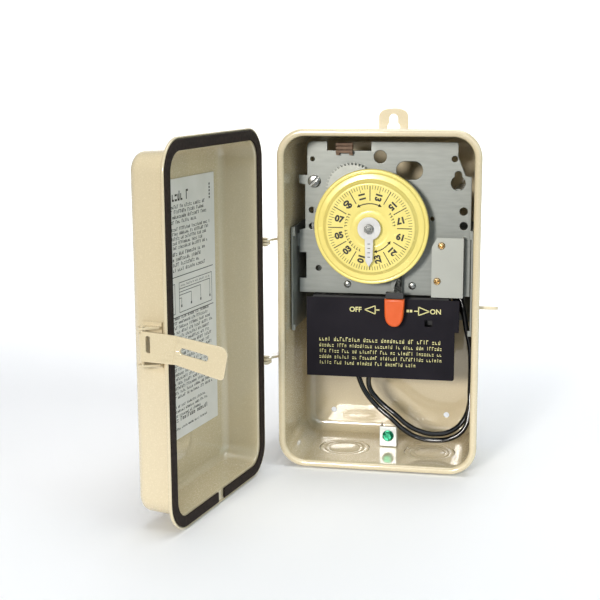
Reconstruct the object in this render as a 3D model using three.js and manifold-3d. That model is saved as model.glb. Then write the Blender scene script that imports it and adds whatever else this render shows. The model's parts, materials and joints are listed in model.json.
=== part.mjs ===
// A mechanical 24-hour time switch in a drawn-steel outdoor enclosure, with its door standing open.
// Millimetres. X to the right, +Y into the wall, +Z up; the origin is the middle of the case's rear face.
import * as THREE from "three";
import { mergeVertices } from "three/addons/utils/BufferGeometryUtils.js";
import Module from "manifold-3d";

const wasm = await Module();
wasm.setup();

// ---- driving dimensions ----
const DEG = Math.PI / 180;
const GAP = 0.3; // between pieces that bear on each other

const CASE = { halfW: 68.5, halfH: 117, depth: 77, corner: 19, bead: 2.5, sheet: 1.5, backFillet: 8.5 };
const WALL_INSET = 3.5; // the wall's outside, in from the bead's outside
const DRAFT = 1; // how much further in each wall stands at its back fillet
const BACK_HOLE = { x: 42, z: -96, r: 2.1 };
const KNOCKOUT = { x: 30.5, y: -44, r: 18 };

const DOOR_GROWTH = 1.9; // the door's lip stands this far outside the bead
const DOOR_LIFT = 0.8; // its bottom edge stands this much less far out
const DOOR = { lipEdge: -77.9, flange: -80.2, face: -106, sheet: 1.3, panInset: 7.5, edge: 6.5 };
const DOOR_OPEN = 100.2 * DEG;
const HINGE = { x: -76, y: -79, z: 41, pin: 1.5, eye: 3.8, leaf: 1.6 };
const GASKET = { inner: 8.2, outer: 1.6, front: -77.4, gapX: 2, gap: 7 };
const LABEL = { left: -50, right: 40, low: -76, high: 90, thick: 0.3 };

const DROOP = 11 * DEG; // the hasp's slotted end and the staple both dip to the rear by this much
const STAPLE = { y: -60, z: -3.2, tip: 80.2, thick: 2.2, depth: 12.4, eyeX: 75.9, eyeR: 3.3 };
const HASP = { x: 70.3, y: -94.2, face: 72.5, thick: 1.6, low: -10, high: 6.8, knuckle: 2.2, pin: 1.1 };

const PLATE = { front: -42, thick: 1.2 };
const RAIL = { x: 61.2, low: -24, high: 48.5, front: -58, sheet: 1.2 };
const DIAL = { x: -7, z: 49.6, r: 39.5, face: -62, back: -51.6, wall: 1.6, bore: 4.2 };
const MODULE = 0.8; // gear module of the whole train
const TEETH = { dial: 60, idlerPinion: 12, idler: 44, motor: 10 };
const LEVER = { x: 9.6, z: 22, armY: -46, pinDrop: 31 };
const INSULATOR = { y: -49.8, thick: 0.8, left: -53.1, right: 53.5, stepX: 50.6, stepZ: -23.3 };
const BLOCK = { left: -50, right: 46, low: -55, high: -0.8, front: -43.8, base: -36, back: -27 };
const TERMINALS = [-40, -21, -2, 17, 36];
const GROUND = { x: 3.5, halfW: 6.1, low: -111.1, high: -96.5, front: -38, depth: 10, screwZ: -103.1 };
const WIRE_R = 1.8;
const FINE = 28;
const COARSE = 12;

// ---- materials ----
const material = (color, roughness, metalness) =>
  new THREE.MeshStandardMaterial({ color, roughness, metalness });
const paint = material(0xe0c9a6, 0.3, 0.0);
const galvanised = material(0xb9bdb9, 0.45, 0.9);
const paleSteel = material(0xc9ccc6, 0.5, 0.6);
const screwSteel = material(0x9a9a96, 0.35, 1.0);
const brass = material(0xb08a5a, 0.35, 1.0);
const yellow = material(0xe8d35a, 0.4, 0.3);
const silver = material(0xe9e9e6, 0.35, 0.4);
const orange = material(0xf0703a, 0.4, 0.0);
const black = material(0x17161a, 0.5, 0.0);
const fibre = material(0x6e5544, 0.7, 0.0);
const foam = material(0x30221f, 0.9, 0.0);
const paper = material(0xe6e4dc, 0.8, 0.0);
const green = material(0x1f8f62, 0.35, 0.4);

// ---- solids ----
function solidOf(geometry) {
  const bare = geometry.index ? geometry.toNonIndexed() : geometry.clone();
  bare.deleteAttribute("normal");
  bare.deleteAttribute("uv");
  const merged = mergeVertices(bare, 1e-4);
  return new wasm.Manifold(
    new wasm.Mesh({
      numProp: 3,
      vertProperties: merged.attributes.position.array,
      triVerts: new Uint32Array(merged.index.array),
    }),
  );
}

function geometryOf(solid) {
  const { vertProperties, triVerts } = solid.getMesh();
  const geometry = new THREE.BufferGeometry();
  geometry.setAttribute("position", new THREE.BufferAttribute(vertProperties, 3));
  geometry.setIndex(new THREE.BufferAttribute(triVerts, 1));
  geometry.computeVertexNormals();
  return geometry;
}

const join = (...geometries) => geometryOf(geometries.map(solidOf).reduce((a, b) => a.add(b)));
const cut = (body, ...tools) =>
  geometryOf(tools.map(solidOf).reduce((a, b) => a.subtract(b), solidOf(body)));

// ---- outlines ----
const path = (...points) => new THREE.Shape(points.map(([x, y]) => new THREE.Vector2(x, y)));

// A rectangle with rounded corners, from its low corner to its high corner.
function roundRect(x0, y0, x1, y1, r) {
  const shape = new THREE.Shape();
  shape.absarc(x1 - r, y1 - r, r, 0, Math.PI / 2);
  shape.absarc(x0 + r, y1 - r, r, Math.PI / 2, Math.PI);
  shape.absarc(x0 + r, y0 + r, r, Math.PI, 1.5 * Math.PI);
  shape.absarc(x1 - r, y0 + r, r, 1.5 * Math.PI, 2 * Math.PI);
  shape.closePath();
  return shape;
}

// ---- blocks, rods and sheets ----
function box(x0, x1, y0, y1, z0, z1) {
  const block = new THREE.BoxGeometry(x1 - x0, y1 - y0, z1 - z0);
  return block.translate((x0 + x1) / 2, (y0 + y1) / 2, (z0 + z1) / 2);
}

// A rod along Y, from y0 in front to y1 behind.
function rodY(x, z, y0, y1, r, sides = COARSE, rBehind = r) {
  return new THREE.CylinderGeometry(rBehind, r, y1 - y0, sides).translate(x, (y0 + y1) / 2, z);
}

function rodZ(x, y, z0, z1, r, sides = COARSE) {
  const rod = new THREE.CylinderGeometry(r, r, z1 - z0, sides).rotateX(Math.PI / 2);
  return rod.translate(x, y, (z0 + z1) / 2);
}

// A sheet that faces the front: its outline is in X and Z, and it reaches from front back by thick.
function faceSheet(shape, front, thick, curveSegments = 6) {
  const sheet = new THREE.ExtrudeGeometry(shape, { depth: thick, bevelEnabled: false, curveSegments });
  return sheet.rotateX(Math.PI / 2).translate(0, front + thick, 0);
}

// A level sheet: its outline is in X and Y, and it stands on z0.
function levelSheet(shape, z0, thick, curveSegments = 6) {
  const sheet = new THREE.ExtrudeGeometry(shape, { depth: thick, bevelEnabled: false, curveSegments });
  return sheet.translate(0, 0, z0);
}

// A sheet that faces the side: its outline is in Y and Z, and it reaches from x0 outward by thick.
function sideSheet(shape, x0, thick, curveSegments = 6) {
  const sheet = new THREE.ExtrudeGeometry(shape, { depth: thick, bevelEnabled: false, curveSegments });
  return sheet.rotateX(Math.PI / 2).rotateZ(Math.PI / 2).translate(x0, 0, 0);
}

// Points of an arc in a section, from one angle to another.
function arc(cx, cy, r, from, to, steps) {
  return Array.from({ length: steps + 1 }, (_, i) => {
    const a = (from + ((to - from) * i) / steps) * DEG;
    return [cx + r * Math.cos(a), cy + r * Math.sin(a)];
  });
}

// The corners and sides of a rounded rectangle in X and Z, inset from the outline given.
function ring(halfW, halfH, corner, inset, steps) {
  const r = Math.max(corner - inset, 1);
  const centres = [
    [halfW - inset - r, halfH - inset - r],
    [-halfW + inset + r, halfH - inset - r],
    [-halfW + inset + r, -halfH + inset + r],
    [halfW - inset - r, -halfH + inset + r],
  ];
  return centres.flatMap(([x, z], quarter) => arc(x, z, r, 90 * quarter, 90 * quarter + 90, steps));
}

// Sweeps a section of [inset, y] stations round a rounded rectangle. An open section is capped at
// both ends, and a closed one makes a ring.
function sweep(stations, { halfW, halfH, corner }, { closed = false, steps = 4 } = {}) {
  const count = 4 * (steps + 1);
  const positions = stations.flatMap(([inset, y]) =>
    ring(halfW, halfH, corner, inset, steps).flatMap(([x, z]) => [x, y, z]),
  );
  const index = [];
  const bands = closed ? stations.length : stations.length - 1;
  for (let s = 0; s < bands; s++) {
    const low = s * count;
    const high = ((s + 1) % stations.length) * count;
    for (let i = 0; i < count; i++) {
      const j = (i + 1) % count;
      index.push(low + i, low + j, high + j, low + i, high + j, high + i);
    }
  }
  if (!closed) {
    const last = (stations.length - 1) * count;
    for (let i = 1; i < count - 1; i++) index.push(0, i + 1, i, last, last + i, last + i + 1);
  }
  const geometry = new THREE.BufferGeometry();
  geometry.setAttribute("position", new THREE.BufferAttribute(new Float32Array(positions), 3));
  return geometry.setIndex(index);
}

// A disc turned about an axis along Y; its profile is a closed loop of [radius, y].
function turned(profile, x, z, sides) {
  const loop = [...profile, profile[0]].map(([r, y]) => new THREE.Vector2(r, y));
  return new THREE.LatheGeometry(loop, sides).translate(x, 0, z);
}

// A toothed disc in X and Z with straight-flanked teeth, one of them pointing along angle.
function gear(x, z, teeth, angle, front, thick) {
  const pitch = (MODULE * teeth) / 2;
  const step = (2 * Math.PI) / teeth;
  const outline = [];
  for (let i = 0; i < teeth; i++) {
    const middle = angle + i * step;
    const corners = [[-0.27, -1.15], [-0.1, 0.8], [0.1, 0.8], [0.27, -1.15]];
    for (const [across, out] of corners) {
      const a = middle + across * step;
      const r = pitch + out * MODULE;
      outline.push([x + r * Math.cos(a), z + r * Math.sin(a)]);
    }
  }
  return faceSheet(path(...outline), front, thick);
}

// A pan-head screw or rivet that faces the front.
const headedPin = (x, z, seat, headR, head, shankR, shank) =>
  join(
    rodY(x, z, seat - head, seat, headR * 0.8, COARSE, headR),
    rodY(x, z, seat - 0.05, seat + shank, shankR, 12),
  );

// ---- scene graph ----
const timeSwitch = new THREE.Group();
function add(parent, name, geometry, look) {
  const mesh = new THREE.Mesh(geometry, look);
  mesh.name = name;
  parent.add(mesh);
}

// ---- the case ----
function caseShell() {
  const fillet = CASE.backFillet;
  const middle = WALL_INSET + DRAFT + fillet;
  const beadY = CASE.bead - CASE.depth;
  const section = [
    ...arc(middle, -fillet, fillet, 90, 180, 4),
    [WALL_INSET, -69.6],
    ...arc(CASE.bead, beadY, CASE.bead, 70, 350, 8),
    [WALL_INSET + CASE.sheet, -70],
    ...arc(middle, -fillet, fillet - CASE.sheet, 180, 90, 4),
  ];
  const shell = sweep(section, CASE);
  const floor = CASE.halfH - WALL_INSET;
  const holes = [-1, 1].flatMap((side) => [
    rodY(side * BACK_HOLE.x, BACK_HOLE.z, -3, 1, BACK_HOLE.r),
    rodZ(GROUND.x + side * KNOCKOUT.x, KNOCKOUT.y, -floor - 3, -floor + 4, KNOCKOUT.r, FINE),
  ]);
  return cut(shell, ...holes);
}

// A disc that fills a conduit hole in the bottom wall until it is punched out.
function knockout(side) {
  const tilt = Math.atan(DRAFT / (CASE.depth - CASE.backFillet - 7));
  const fromFront = KNOCKOUT.y + CASE.depth - 7;
  const middle = -CASE.halfH + WALL_INSET + CASE.sheet / 2 + fromFront * Math.tan(tilt);
  const disc = rodZ(0, 0, -0.6, 0.6, KNOCKOUT.r - GAP, FINE).rotateX(tilt);
  return disc.translate(GROUND.x + side * KNOCKOUT.x, KNOCKOUT.y, middle);
}

// A strap on the back's top edge with a keyhole, from which the case hangs.
function hangerTab() {
  const [x, halfW, low, shoulder, top] = [1, 10.6, 109.4, 121.5, 128];
  const strap = new THREE.Shape();
  strap.moveTo(x - halfW, low);
  strap.lineTo(x + halfW, low);
  strap.lineTo(x + halfW, shoulder);
  strap.bezierCurveTo(x + halfW, shoulder + 4, x + 7, top, x, top);
  strap.bezierCurveTo(x - 7, top, x - halfW, shoulder + 4, x - halfW, shoulder);
  strap.closePath();
  return cut(
    faceSheet(strap, -CASE.sheet, CASE.sheet),
    rodY(x, 114, -3, 1, 4.6, FINE),
    faceSheet(roundRect(x - 3.1, 112, x + 3.1, 123.7, 3), -3, 4),
  );
}

// A lug that stands out of the side wall and through the hasp's slot, with an eye for a padlock.
function padlockStaple() {
  const { depth, thick, tip } = STAPLE;
  const root = CASE.halfW - WALL_INSET + GAP;
  const outline = roundRect(root - 4, -depth / 2, tip, depth / 2, 3.2);
  const plate = cut(
    levelSheet(outline, -thick / 2, thick),
    box(root - 5, root, -depth, depth, -thick, thick),
    rodZ(STAPLE.eyeX, 0, -thick, thick, STAPLE.eyeR, FINE),
  );
  return plate.rotateX(-DROOP).translate(0, STAPLE.y, STAPLE.z);
}

// The half of a hinge that is welded to the case: it reaches out from behind the bead.
function caseEar(z0) {
  const wall = -CASE.halfW + WALL_INSET - GAP;
  const outline = path(
    [wall, -56],
    [wall, -69.7],
    [-68.8, -70.6],
    [-71.6, -74.2],
    ...arc(HINGE.x, HINGE.y, HINGE.eye, 40, -180, 10),
    [-79, -72],
    [-70, -58],
  );
  return cut(
    levelSheet(outline, z0, HINGE.leaf),
    rodZ(HINGE.x, HINGE.y, z0 - 1, z0 + 3, HINGE.pin + 0.2, 20),
  );
}

function hingePin(z) {
  const half = HINGE.leaf + GAP / 2;
  return join(
    rodZ(HINGE.x, HINGE.y, z - half - 0.6, z + half + 0.6, HINGE.pin, 20),
    rodZ(HINGE.x, HINGE.y, z - half - 1.5, z - half - GAP, 2.6, 20),
    rodZ(HINGE.x, HINGE.y, z + half + GAP, z + half + 1.5, 2.6, 20),
  );
}

// A folded sheet along a side wall: a foot on the back, an arm to the front, and a lug for the plate.
function sideRail(side) {
  const { x, low, high, front, sheet } = RAIL;
  const back = -CASE.sheet - GAP;
  const fold = path(
    [x, front],
    [x + sheet, front],
    [x + sheet, -11.4],
    [54.6, back],
    [46, back],
    [46, back - sheet],
    [54, back - sheet],
    [x, -12],
  );
  const lugY = PLATE.front + PLATE.thick + GAP;
  const rail = join(
    levelSheet(fold, low, high - low),
    box(x - 7, x + 0.5, lugY, lugY + sheet, 33, 42),
    box(x - 1.4, x + 0.5, front, front + sheet, high - 6, high),
    box(x - 1.4, x + 0.5, front, front + sheet, low, low + 4),
  );
  return side > 0 ? rail : geometryOf(solidOf(rail).mirror([1, 0, 0]));
}

function buildCase(root) {
  add(root, "case_shell", caseShell(), paint);
  add(root, "hanger_tab", hangerTab(), paint);
  add(root, "knockout_left", knockout(-1), paint);
  add(root, "knockout_right", knockout(1), paint);
  add(root, "padlock_staple", padlockStaple(), paint);
  for (const [place, z] of [["upper", HINGE.z], ["lower", -HINGE.z]]) {
    add(root, `case_hinge_ear_${place}`, caseEar(z + GAP / 2), paint);
    add(root, `hinge_pin_${place}`, hingePin(z), screwSteel);
  }
  add(root, "side_rail_left", sideRail(-1), galvanised);
  add(root, "side_rail_right", sideRail(1), galvanised);
}

// ---- the door, drawn shut ----
const doorOutline = {
  halfW: CASE.halfW + DOOR_GROWTH,
  halfH: CASE.halfH + DOOR_GROWTH - DOOR_LIFT,
  corner: CASE.corner + DOOR_GROWTH,
};

function doorShell() {
  const { lipEdge, flange, face, sheet, panInset, edge } = DOOR;
  const middle = panInset + DRAFT + edge;
  const turn = face + edge;
  const section = [
    ...arc(middle, turn, edge - sheet, 270, 180, 4),
    [panInset + sheet, flange + sheet - 0.5],
    [panInset + sheet - 0.3, flange + sheet],
    [sheet, flange + sheet],
    [sheet, lipEdge],
    [0, lipEdge],
    ...arc(1.2, flange + 1.2, 1.2, 180, 270, 2),
    ...arc(panInset - 0.8, flange - 0.8, 0.8, 90, 0, 2),
    ...arc(middle, turn, edge, 180, 270, 4),
  ];
  return sweep(section, doorOutline).translate(0, 0, DOOR_LIFT);
}

// A foam strip on the flange, broken at the bottom so that water drains.
function gasket() {
  const { inner, outer, front, gapX, gap } = GASKET;
  const seat = DOOR.flange + DOOR.sheet + GAP;
  const section = [
    [outer, seat],
    [inner, seat],
    [inner, front - 0.4],
    [inner - 0.5, front],
    [outer + 0.5, front],
    [outer, front - 0.4],
  ];
  const bottom = DOOR_LIFT - doorOutline.halfH;
  const gapBox = box(gapX - gap / 2, gapX + gap / 2, seat - 2, front + 2, bottom - 1, bottom + 12);
  return cut(sweep(section, doorOutline, { closed: true }).translate(0, 0, DOOR_LIFT), gapBox);
}

// The half of a hinge that is welded to the door's lip.
function doorEar(z0) {
  const lip = -doorOutline.halfW - GAP;
  const outline = path(
    [lip, -77.6],
    [HINGE.x + 1.2, HINGE.y + HINGE.eye],
    ...arc(HINGE.x, HINGE.y, HINGE.eye, 100, 260, 8),
    [HINGE.x + 1.2, HINGE.y - HINGE.eye],
    [lip, -80.8],
  );
  return cut(
    levelSheet(outline, z0, HINGE.leaf),
    rodZ(HINGE.x, HINGE.y, z0 - 1, z0 + 3, HINGE.pin + 0.2, 20),
  );
}

// A channel riveted to the door's side, whose two ears hold the hasp's pin.
function haspBracket() {
  const wall = doorOutline.halfW - DOOR.panInset + GAP;
  const [low, high, inLow, inHigh] = [-13.4, 10.2, -12, 8.8];
  const ear = path(
    [wall, -97.6],
    [wall + 3, -97.6],
    ...arc(HASP.x, HASP.y, 3, -120, 60, 8),
    [wall + 4, -84.5],
    [wall, -84.5],
  );
  const pinHole = rodZ(HASP.x, HASP.y, low - 1, high + 1, HASP.pin + 0.1);
  return cut(
    join(
      box(wall, wall + 1.2, -97.6, -84.5, low - 1.6, high + 2.1),
      levelSheet(ear, low, inLow - low),
      levelSheet(ear, inHigh, high - inHigh),
    ),
    pinHole,
  );
}

const haspPin = () =>
  join(
    rodZ(HASP.x, HASP.y, -14.4, 11.2, HASP.pin),
    rodZ(HASP.x, HASP.y, -14.4, -13.7, 1.9),
    rodZ(HASP.x, HASP.y, 10.5, 11.2, 1.9),
  );

// The strap that drops over the staple. Past the lip it dips, and its slot dips with it.
function haspStrap() {
  const { x, y, face, thick, low, high, knuckle } = HASP;
  const bend = [-72, (low + high) / 2];
  const dipped = ([u, v]) => [
    bend[0] + u * Math.cos(DROOP) + v * Math.sin(DROOP),
    bend[1] - u * Math.sin(DROOP) + v * Math.cos(DROOP),
  ];
  const outline = path(
    [y, high + 1.3],
    [y, low],
    ...[
      [1.6, -8.4],
      ...arc(30, -7, 2.5, -90, 0, 3),
      ...arc(27.5, 4.7, 5, 0, 90, 4),
      [-1.6, 8.4],
    ].map(dipped),
  );
  const slotAt = STAPLE.y - bend[0];
  const slot = roundRect(slotAt - 8.8, -1.85, slotAt + 8.8, 1.85, 1.6)
    .getPoints(4)
    .map((p) => [
      STAPLE.y + (p.x - slotAt) * Math.cos(DROOP) + p.y * Math.sin(DROOP),
      STAPLE.z - (p.x - slotAt) * Math.sin(DROOP) + p.y * Math.cos(DROOP),
    ]);
  return cut(
    join(sideSheet(outline, face - thick, thick), rodZ(x, y, low, high, knuckle)),
    rodZ(x, y, low - 1, high + 2, HASP.pin + 0.2),
    sideSheet(path(...slot), face - thick - 1, thick + 2),
    box(face - thick - 1, face + 1, -91, -88.2, -4.5, 5.4),
  );
}

function buildDoor(root) {
  const hinge = new THREE.Group();
  hinge.position.set(HINGE.x, HINGE.y, 0);
  hinge.rotation.z = -DOOR_OPEN;
  root.add(hinge);
  const door = new THREE.Group();
  door.position.set(-HINGE.x, -HINGE.y, 0);
  hinge.add(door);
  const innerFace = DOOR.face + DOOR.sheet;
  const label = roundRect(LABEL.left, LABEL.low, LABEL.right, LABEL.high, 1);
  add(door, "door_shell", doorShell(), paint);
  add(door, "gasket", gasket(), foam);
  add(door, "instruction_label", faceSheet(label, innerFace + GAP, LABEL.thick, 2), paper);
  add(door, "door_hinge_ear_upper", doorEar(HINGE.z - GAP / 2 - HINGE.leaf), paint);
  add(door, "door_hinge_ear_lower", doorEar(-HINGE.z - GAP / 2 - HINGE.leaf), paint);
  add(door, "hasp_bracket", haspBracket(), paint);
  add(door, "hasp_pin", haspPin(), screwSteel);
  add(door, "hasp_strap", haspStrap(), paint);
}

// ---- the mechanism plate and what is fixed to it ----
function mechanismPlate() {
  const { front, thick } = PLATE;
  const outline = path(
    [-59.8, 0.5],
    [59.8, 0.5],
    [59.8, 83.2],
    [55.6, 83.9],
    [50.5, 96.7],
    [50.5, 104.6],
    [48.5, 106.6],
    [-9.2, 106.6],
    [-9.2, 100.4],
    [-39.8, 100.4],
    [-39.8, 106.6],
    ...arc(-50, 102.6, 4, 90, 180, 3),
    [-54, 83.4],
    [-59.8, 83.4],
    [-59.8, 77.4],
    [-55.6, 76.6],
    [-55.6, 46],
    [-59.8, 45],
    [-59.8, 28.8],
    [-54.9, 28.8],
    [-54.9, 10.8],
    [-59.8, 10.8],
  );
  const through = (x, z, r) => rodY(x, z, front - 1, front + thick + 1, r);
  const idler = idlerAxis();
  const motor = motorAxis();
  const lip = (x0, x1) => box(x0, x1, -48.4, front + 0.6, -0.5, 0.7);
  return cut(
    join(faceSheet(outline, front, thick), lip(-29.7, 1), lip(18, 34.5)),
    through(-2.9, 96.3, 4.4),
    faceSheet(roundRect(8.3, 80.9, 26.3, 93.3, 5.9), front - 1, thick + 2),
    through(50.6, 78.8, 4.9),
    through(51.1, 84.6, 2.4),
    through(54.6, 59.6, 2.7),
    through(54.8, 49.6, 2.7),
    through(33.2, 54.2, 1.5),
    through(-50.6, 58.9, 2.2),
    through(-50.6, 47.6, 2.2),
    through(-46.1, 18, 2),
    through(49.1, 95.2, 2),
    through(-48.9, 79.1, 2.4),
    through(-50.2, 94.4, 1.5),
    through(DIAL.x, DIAL.z, 2.9),
    through(idler.x, idler.z, 1.7),
    through(motor.x, motor.z, 2.6),
    through(LEVER.x, LEVER.z, 1.9),
    through(-25.4, 7.2, 1.6),
    through(20, 7.2, 1.6),
  );
}

// A post between the case's back and the mechanism plate.
const standoff = (x, z) => rodY(x, z, PLATE.front + PLATE.thick + GAP, -CASE.sheet - GAP, 4);

// A slotted screw whose head lies on the mechanism plate.
function slottedScrew(x, z, headR) {
  const seat = PLATE.front - GAP;
  const turnedHead = headedPin(x, z, seat, headR, 2, 1.9, 1.6);
  const slot = box(-headR - 1, headR + 1, seat - 3, seat - 1, -0.55, 0.55).rotateY(35 * DEG);
  return cut(turnedHead, slot.translate(x, 0, z));
}

// A ribbed fibre catch in the notch at the plate's top.
function topCatch() {
  const [left, right] = [-33.2, -21.6];
  const ribs = [99.1, 101.6, 104.1].map((z) => box(left, right, -46.4, -43.9, z, z + 1.6));
  const foot = (x) => box(x, x + 2.4, -44.8, -42.4, 97.4, 99.2);
  return join(
    box(left + 0.5, right - 0.5, -44, -38, 100.9, 105.8),
    box(left + 0.5, right - 0.5, -44, -42.4, 98.6, 101.4),
    foot(left),
    foot(right - 2.4),
    ...ribs,
  );
}

// A raised sheet cover at the plate's right side, folded back along both sides.
function coverBracket() {
  const [front, sheet] = [-50, 1.2];
  const outline = path([34, 0.9], [55.6, 0.9], [55.6, 42.2], [37.6, 42.2], [34, 36]);
  const behind = PLATE.front - GAP;
  return cut(
    join(
      faceSheet(outline, front, sheet),
      box(34, 34 + sheet, front + 0.2, behind, 0.9, 36),
      box(55.6 - sheet, 55.6, front + 0.2, behind, 0.9, 42.2),
    ),
    rodY(40.6, 36.8, -52, -46, 1.5),
    rodY(37.9, 12.2, -52, -46, 1.5),
  );
}

const coverRivet = (x, z) => headedPin(x, z, -50 - GAP, 2.6, 1.1, 1.2, 2);

// The synchronous motor's can, with a mounting ear on each side.
function motorCan() {
  const [x, z] = [-30, 48];
  const front = PLATE.front + PLATE.thick + GAP;
  const ears = faceSheet(roundRect(x - 20, z - 26.5, x + 20, z + 26.5, 4), front, 1.2);
  return cut(
    join(rodY(x, z, front + 0.4, -16, 21.5, FINE), ears),
    rodY(motorAxis().x, motorAxis().z, front - 1, front + 3, 2.6),
  );
}

const auxiliarySwitch = () =>
  join(box(33, 54, -39.2, -23, 14.2, 40), box(36, 51, -24, -20, 18, 36));

// ---- the clock train ----
function idlerAxis() {
  const reach = (MODULE * (TEETH.dial + TEETH.idlerPinion)) / 2;
  const toIdler = new THREE.Vector2(-15, 24.4).setLength(reach);
  return { x: DIAL.x + toIdler.x, z: DIAL.z + toIdler.y, angle: toIdler.angle() };
}

function motorAxis() {
  const reach = (MODULE * (TEETH.idler + TEETH.motor)) / 2;
  const angle = -120 * DEG;
  const idler = idlerAxis();
  return { x: idler.x + reach * Math.cos(angle), z: idler.z + reach * Math.sin(angle), angle };
}

// The numbered dial: a dished disc whose printed face stands in front of its rim.
function dial() {
  const { x, z, r, face, back, wall, bore } = DIAL;
  const profile = [
    [bore, face],
    [30.3, face],
    [31.4, face + 0.7],
    [33, face + 3.4],
    [36, face + 4.6],
    [38.6, face + 6],
    [r, face + 7.6],
    [r, back - 0.8],
    [r - 1.1, back],
    [36.6, back - 0.6],
    [35, face + 6.2],
    [32, face + 5],
    [30.2, face + 2.4],
    [28.6, face + wall],
    [bore, face + wall],
  ];
  return turned(profile, x, z, 36);
}

function dialGear() {
  const hubFront = DIAL.face + DIAL.wall + GAP;
  const blank = join(
    gear(DIAL.x, DIAL.z, TEETH.dial, idlerAxis().angle, -49.4, 1.8),
    rodY(DIAL.x, DIAL.z, hubFront, -47.7, 6),
  );
  return cut(blank, rodY(DIAL.x, DIAL.z, hubFront - 1, -46, 3));
}

function idlerGear() {
  const { x, z, angle } = idlerAxis();
  const halfTooth = Math.PI / TEETH.idlerPinion;
  return cut(
    join(
      gear(x, z, TEETH.idler, motorAxis().angle, -45.8, 1.5),
      gear(x, z, TEETH.idlerPinion, angle + Math.PI + halfTooth, -49.9, 4.2),
    ),
    rodY(x, z, -51, -43, 1.8),
  );
}

function motorPinion() {
  const { x, z, angle } = motorAxis();
  const halfTooth = Math.PI / TEETH.motor;
  return join(
    gear(x, z, TEETH.motor, angle + Math.PI + halfTooth, -46.2, 2.4),
    rodY(x, z, -44, PLATE.front + PLATE.thick + 2 * GAP, 1.6),
  );
}

// The dial's fixed spindle: a foot on the plate, a journal for the dial and a stub for the pointer.
const dialArbor = () =>
  join(
    rodY(DIAL.x, DIAL.z, -46.9, PLATE.front - GAP, 6),
    rodY(DIAL.x, DIAL.z, -67.4, -46.8, 2.7),
    rodY(DIAL.x, DIAL.z, PLATE.front - 0.4, PLATE.front + PLATE.thick, 2.6),
  );

const idlerArbor = () => {
  const { x, z } = idlerAxis();
  return join(
    rodY(x, z, -43.9, PLATE.front - GAP, 3),
    rodY(x, z, -50.6, -43.8, 1.5),
    rodY(x, z, PLATE.front - 0.4, PLATE.front + PLATE.thick, 1.4),
  );
};

// The fixed hand: a disc over the dial's middle with an arm that points straight down.
function pointer() {
  const { x, z } = DIAL;
  const front = DIAL.face - 4.4; // leaves the dial room to be pulled forward
  const arm = path([x - 2.9, z], [x + 2.9, z], [x + 2.5, z - 22], [x, z - 26], [x - 2.5, z - 22]);
  return cut(
    join(rodY(x, z, front, front + 1.2, 7.9, FINE), faceSheet(arm, front + 0.1, 1)),
    rodY(x, z, front - 1, front + 2, 3),
  );
}

const arborNut = () =>
  join(rodY(DIAL.x, DIAL.z, -69.2, -67.7, 3.4, 6), rodY(DIAL.x, DIAL.z, -69.9, -69.1, 1.6));

// ---- the trip lever and the contacts ----
// The steel arm hangs from its rivet, steps forward over the insulator and carries a drive pin.
function leverArm() {
  const { x, z, armY, pinDrop } = LEVER;
  const front = armY - 1.2;
  const outline = path(
    ...arc(x, z, 4.5, 10, 170, 6),
    [x - 3.6, z - 20],
    [x - 2, z - pinDrop - 2],
    [x + 2, z - pinDrop - 2],
    [x + 3.6, z - 20],
  );
  return cut(
    join(
      faceSheet(outline, front, 1.2),
      box(x - 3.4, x + 3.4, -55.6, front + 0.4, 1.6, 2.8),
      box(x - 3.4, x + 3.4, -55.6, -54.4, -11, 2.8),
      rodY(x, z - pinDrop, armY - 0.3, armY + 1.6, 1.5),
    ),
    rodY(x, z, front - 1, armY + 1, 1.9),
  );
}

// The orange thumb piece: it tapers downward and ends round.
function leverKnob() {
  const { x } = LEVER;
  const [front, back] = [-59.4, -52.4];
  const outline = new THREE.Shape();
  outline.moveTo(x - 6.8, 0.2);
  outline.lineTo(x - 6.6, -11);
  outline.bezierCurveTo(x - 6.2, -16.4, x - 3.6, -18.9, x + 0.4, -18.9);
  outline.bezierCurveTo(x + 4, -18.9, x + 5.6, -15.4, x + 6.2, -11);
  outline.lineTo(x + 6.8, 0.2);
  outline.closePath();
  return cut(
    faceSheet(outline, front, back - front),
    box(x - 3.7, x + 3.7, -55.9, -54.1, -11.3, 2),
  );
}

const leverRivet = () => headedPin(LEVER.x, LEVER.z, LEVER.armY - 1.5, 3, 1.2, 1.6, 5.4);

// The dark collar that closes the thumb piece's top, pressed over the arm's tab.
const leverCollar = () =>
  cut(
    box(LEVER.x - 6.2, LEVER.x + 6.2, -58, -52.8, 0.5, 4.7),
    box(LEVER.x - 3.7, LEVER.x + 3.7, -55.9, -52, 0, 3.1),
  );

// The bar that the lever's pin pushes from side to side, with a contact towards each end.
function contactBar() {
  const { x, z, pinDrop, armY } = LEVER;
  const pinZ = z - pinDrop;
  return cut(
    box(-24, 34, armY + GAP, BLOCK.front - GAP, pinZ - 5, pinZ + 3),
    box(x - 1.85, x + 1.85, -47, -43, pinZ - 2.3, pinZ + 4),
  );
}

const CONTACT = { front: -48.6, halfW: 4, reach: 9.7 }; // reach: from a moving contact to its fixed one
const movingContact = (x) =>
  box(x - CONTACT.halfW, x + CONTACT.halfW, CONTACT.front, LEVER.armY, -13.4, -10.2);

// A blade that stands beside the bar's path, on a foot on the terminal block.
function fixedContact(movingX) {
  const x = movingX + CONTACT.reach;
  const foot = BLOCK.front - GAP;
  return join(
    box(x - 2.5, x + 3.5, foot - 1, foot, -20, -15),
    box(x, x + 1.2, CONTACT.front, foot, -20, -15),
    box(x, x + 1.2, CONTACT.front, LEVER.armY, -15.2, -9.5),
  );
}

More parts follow.
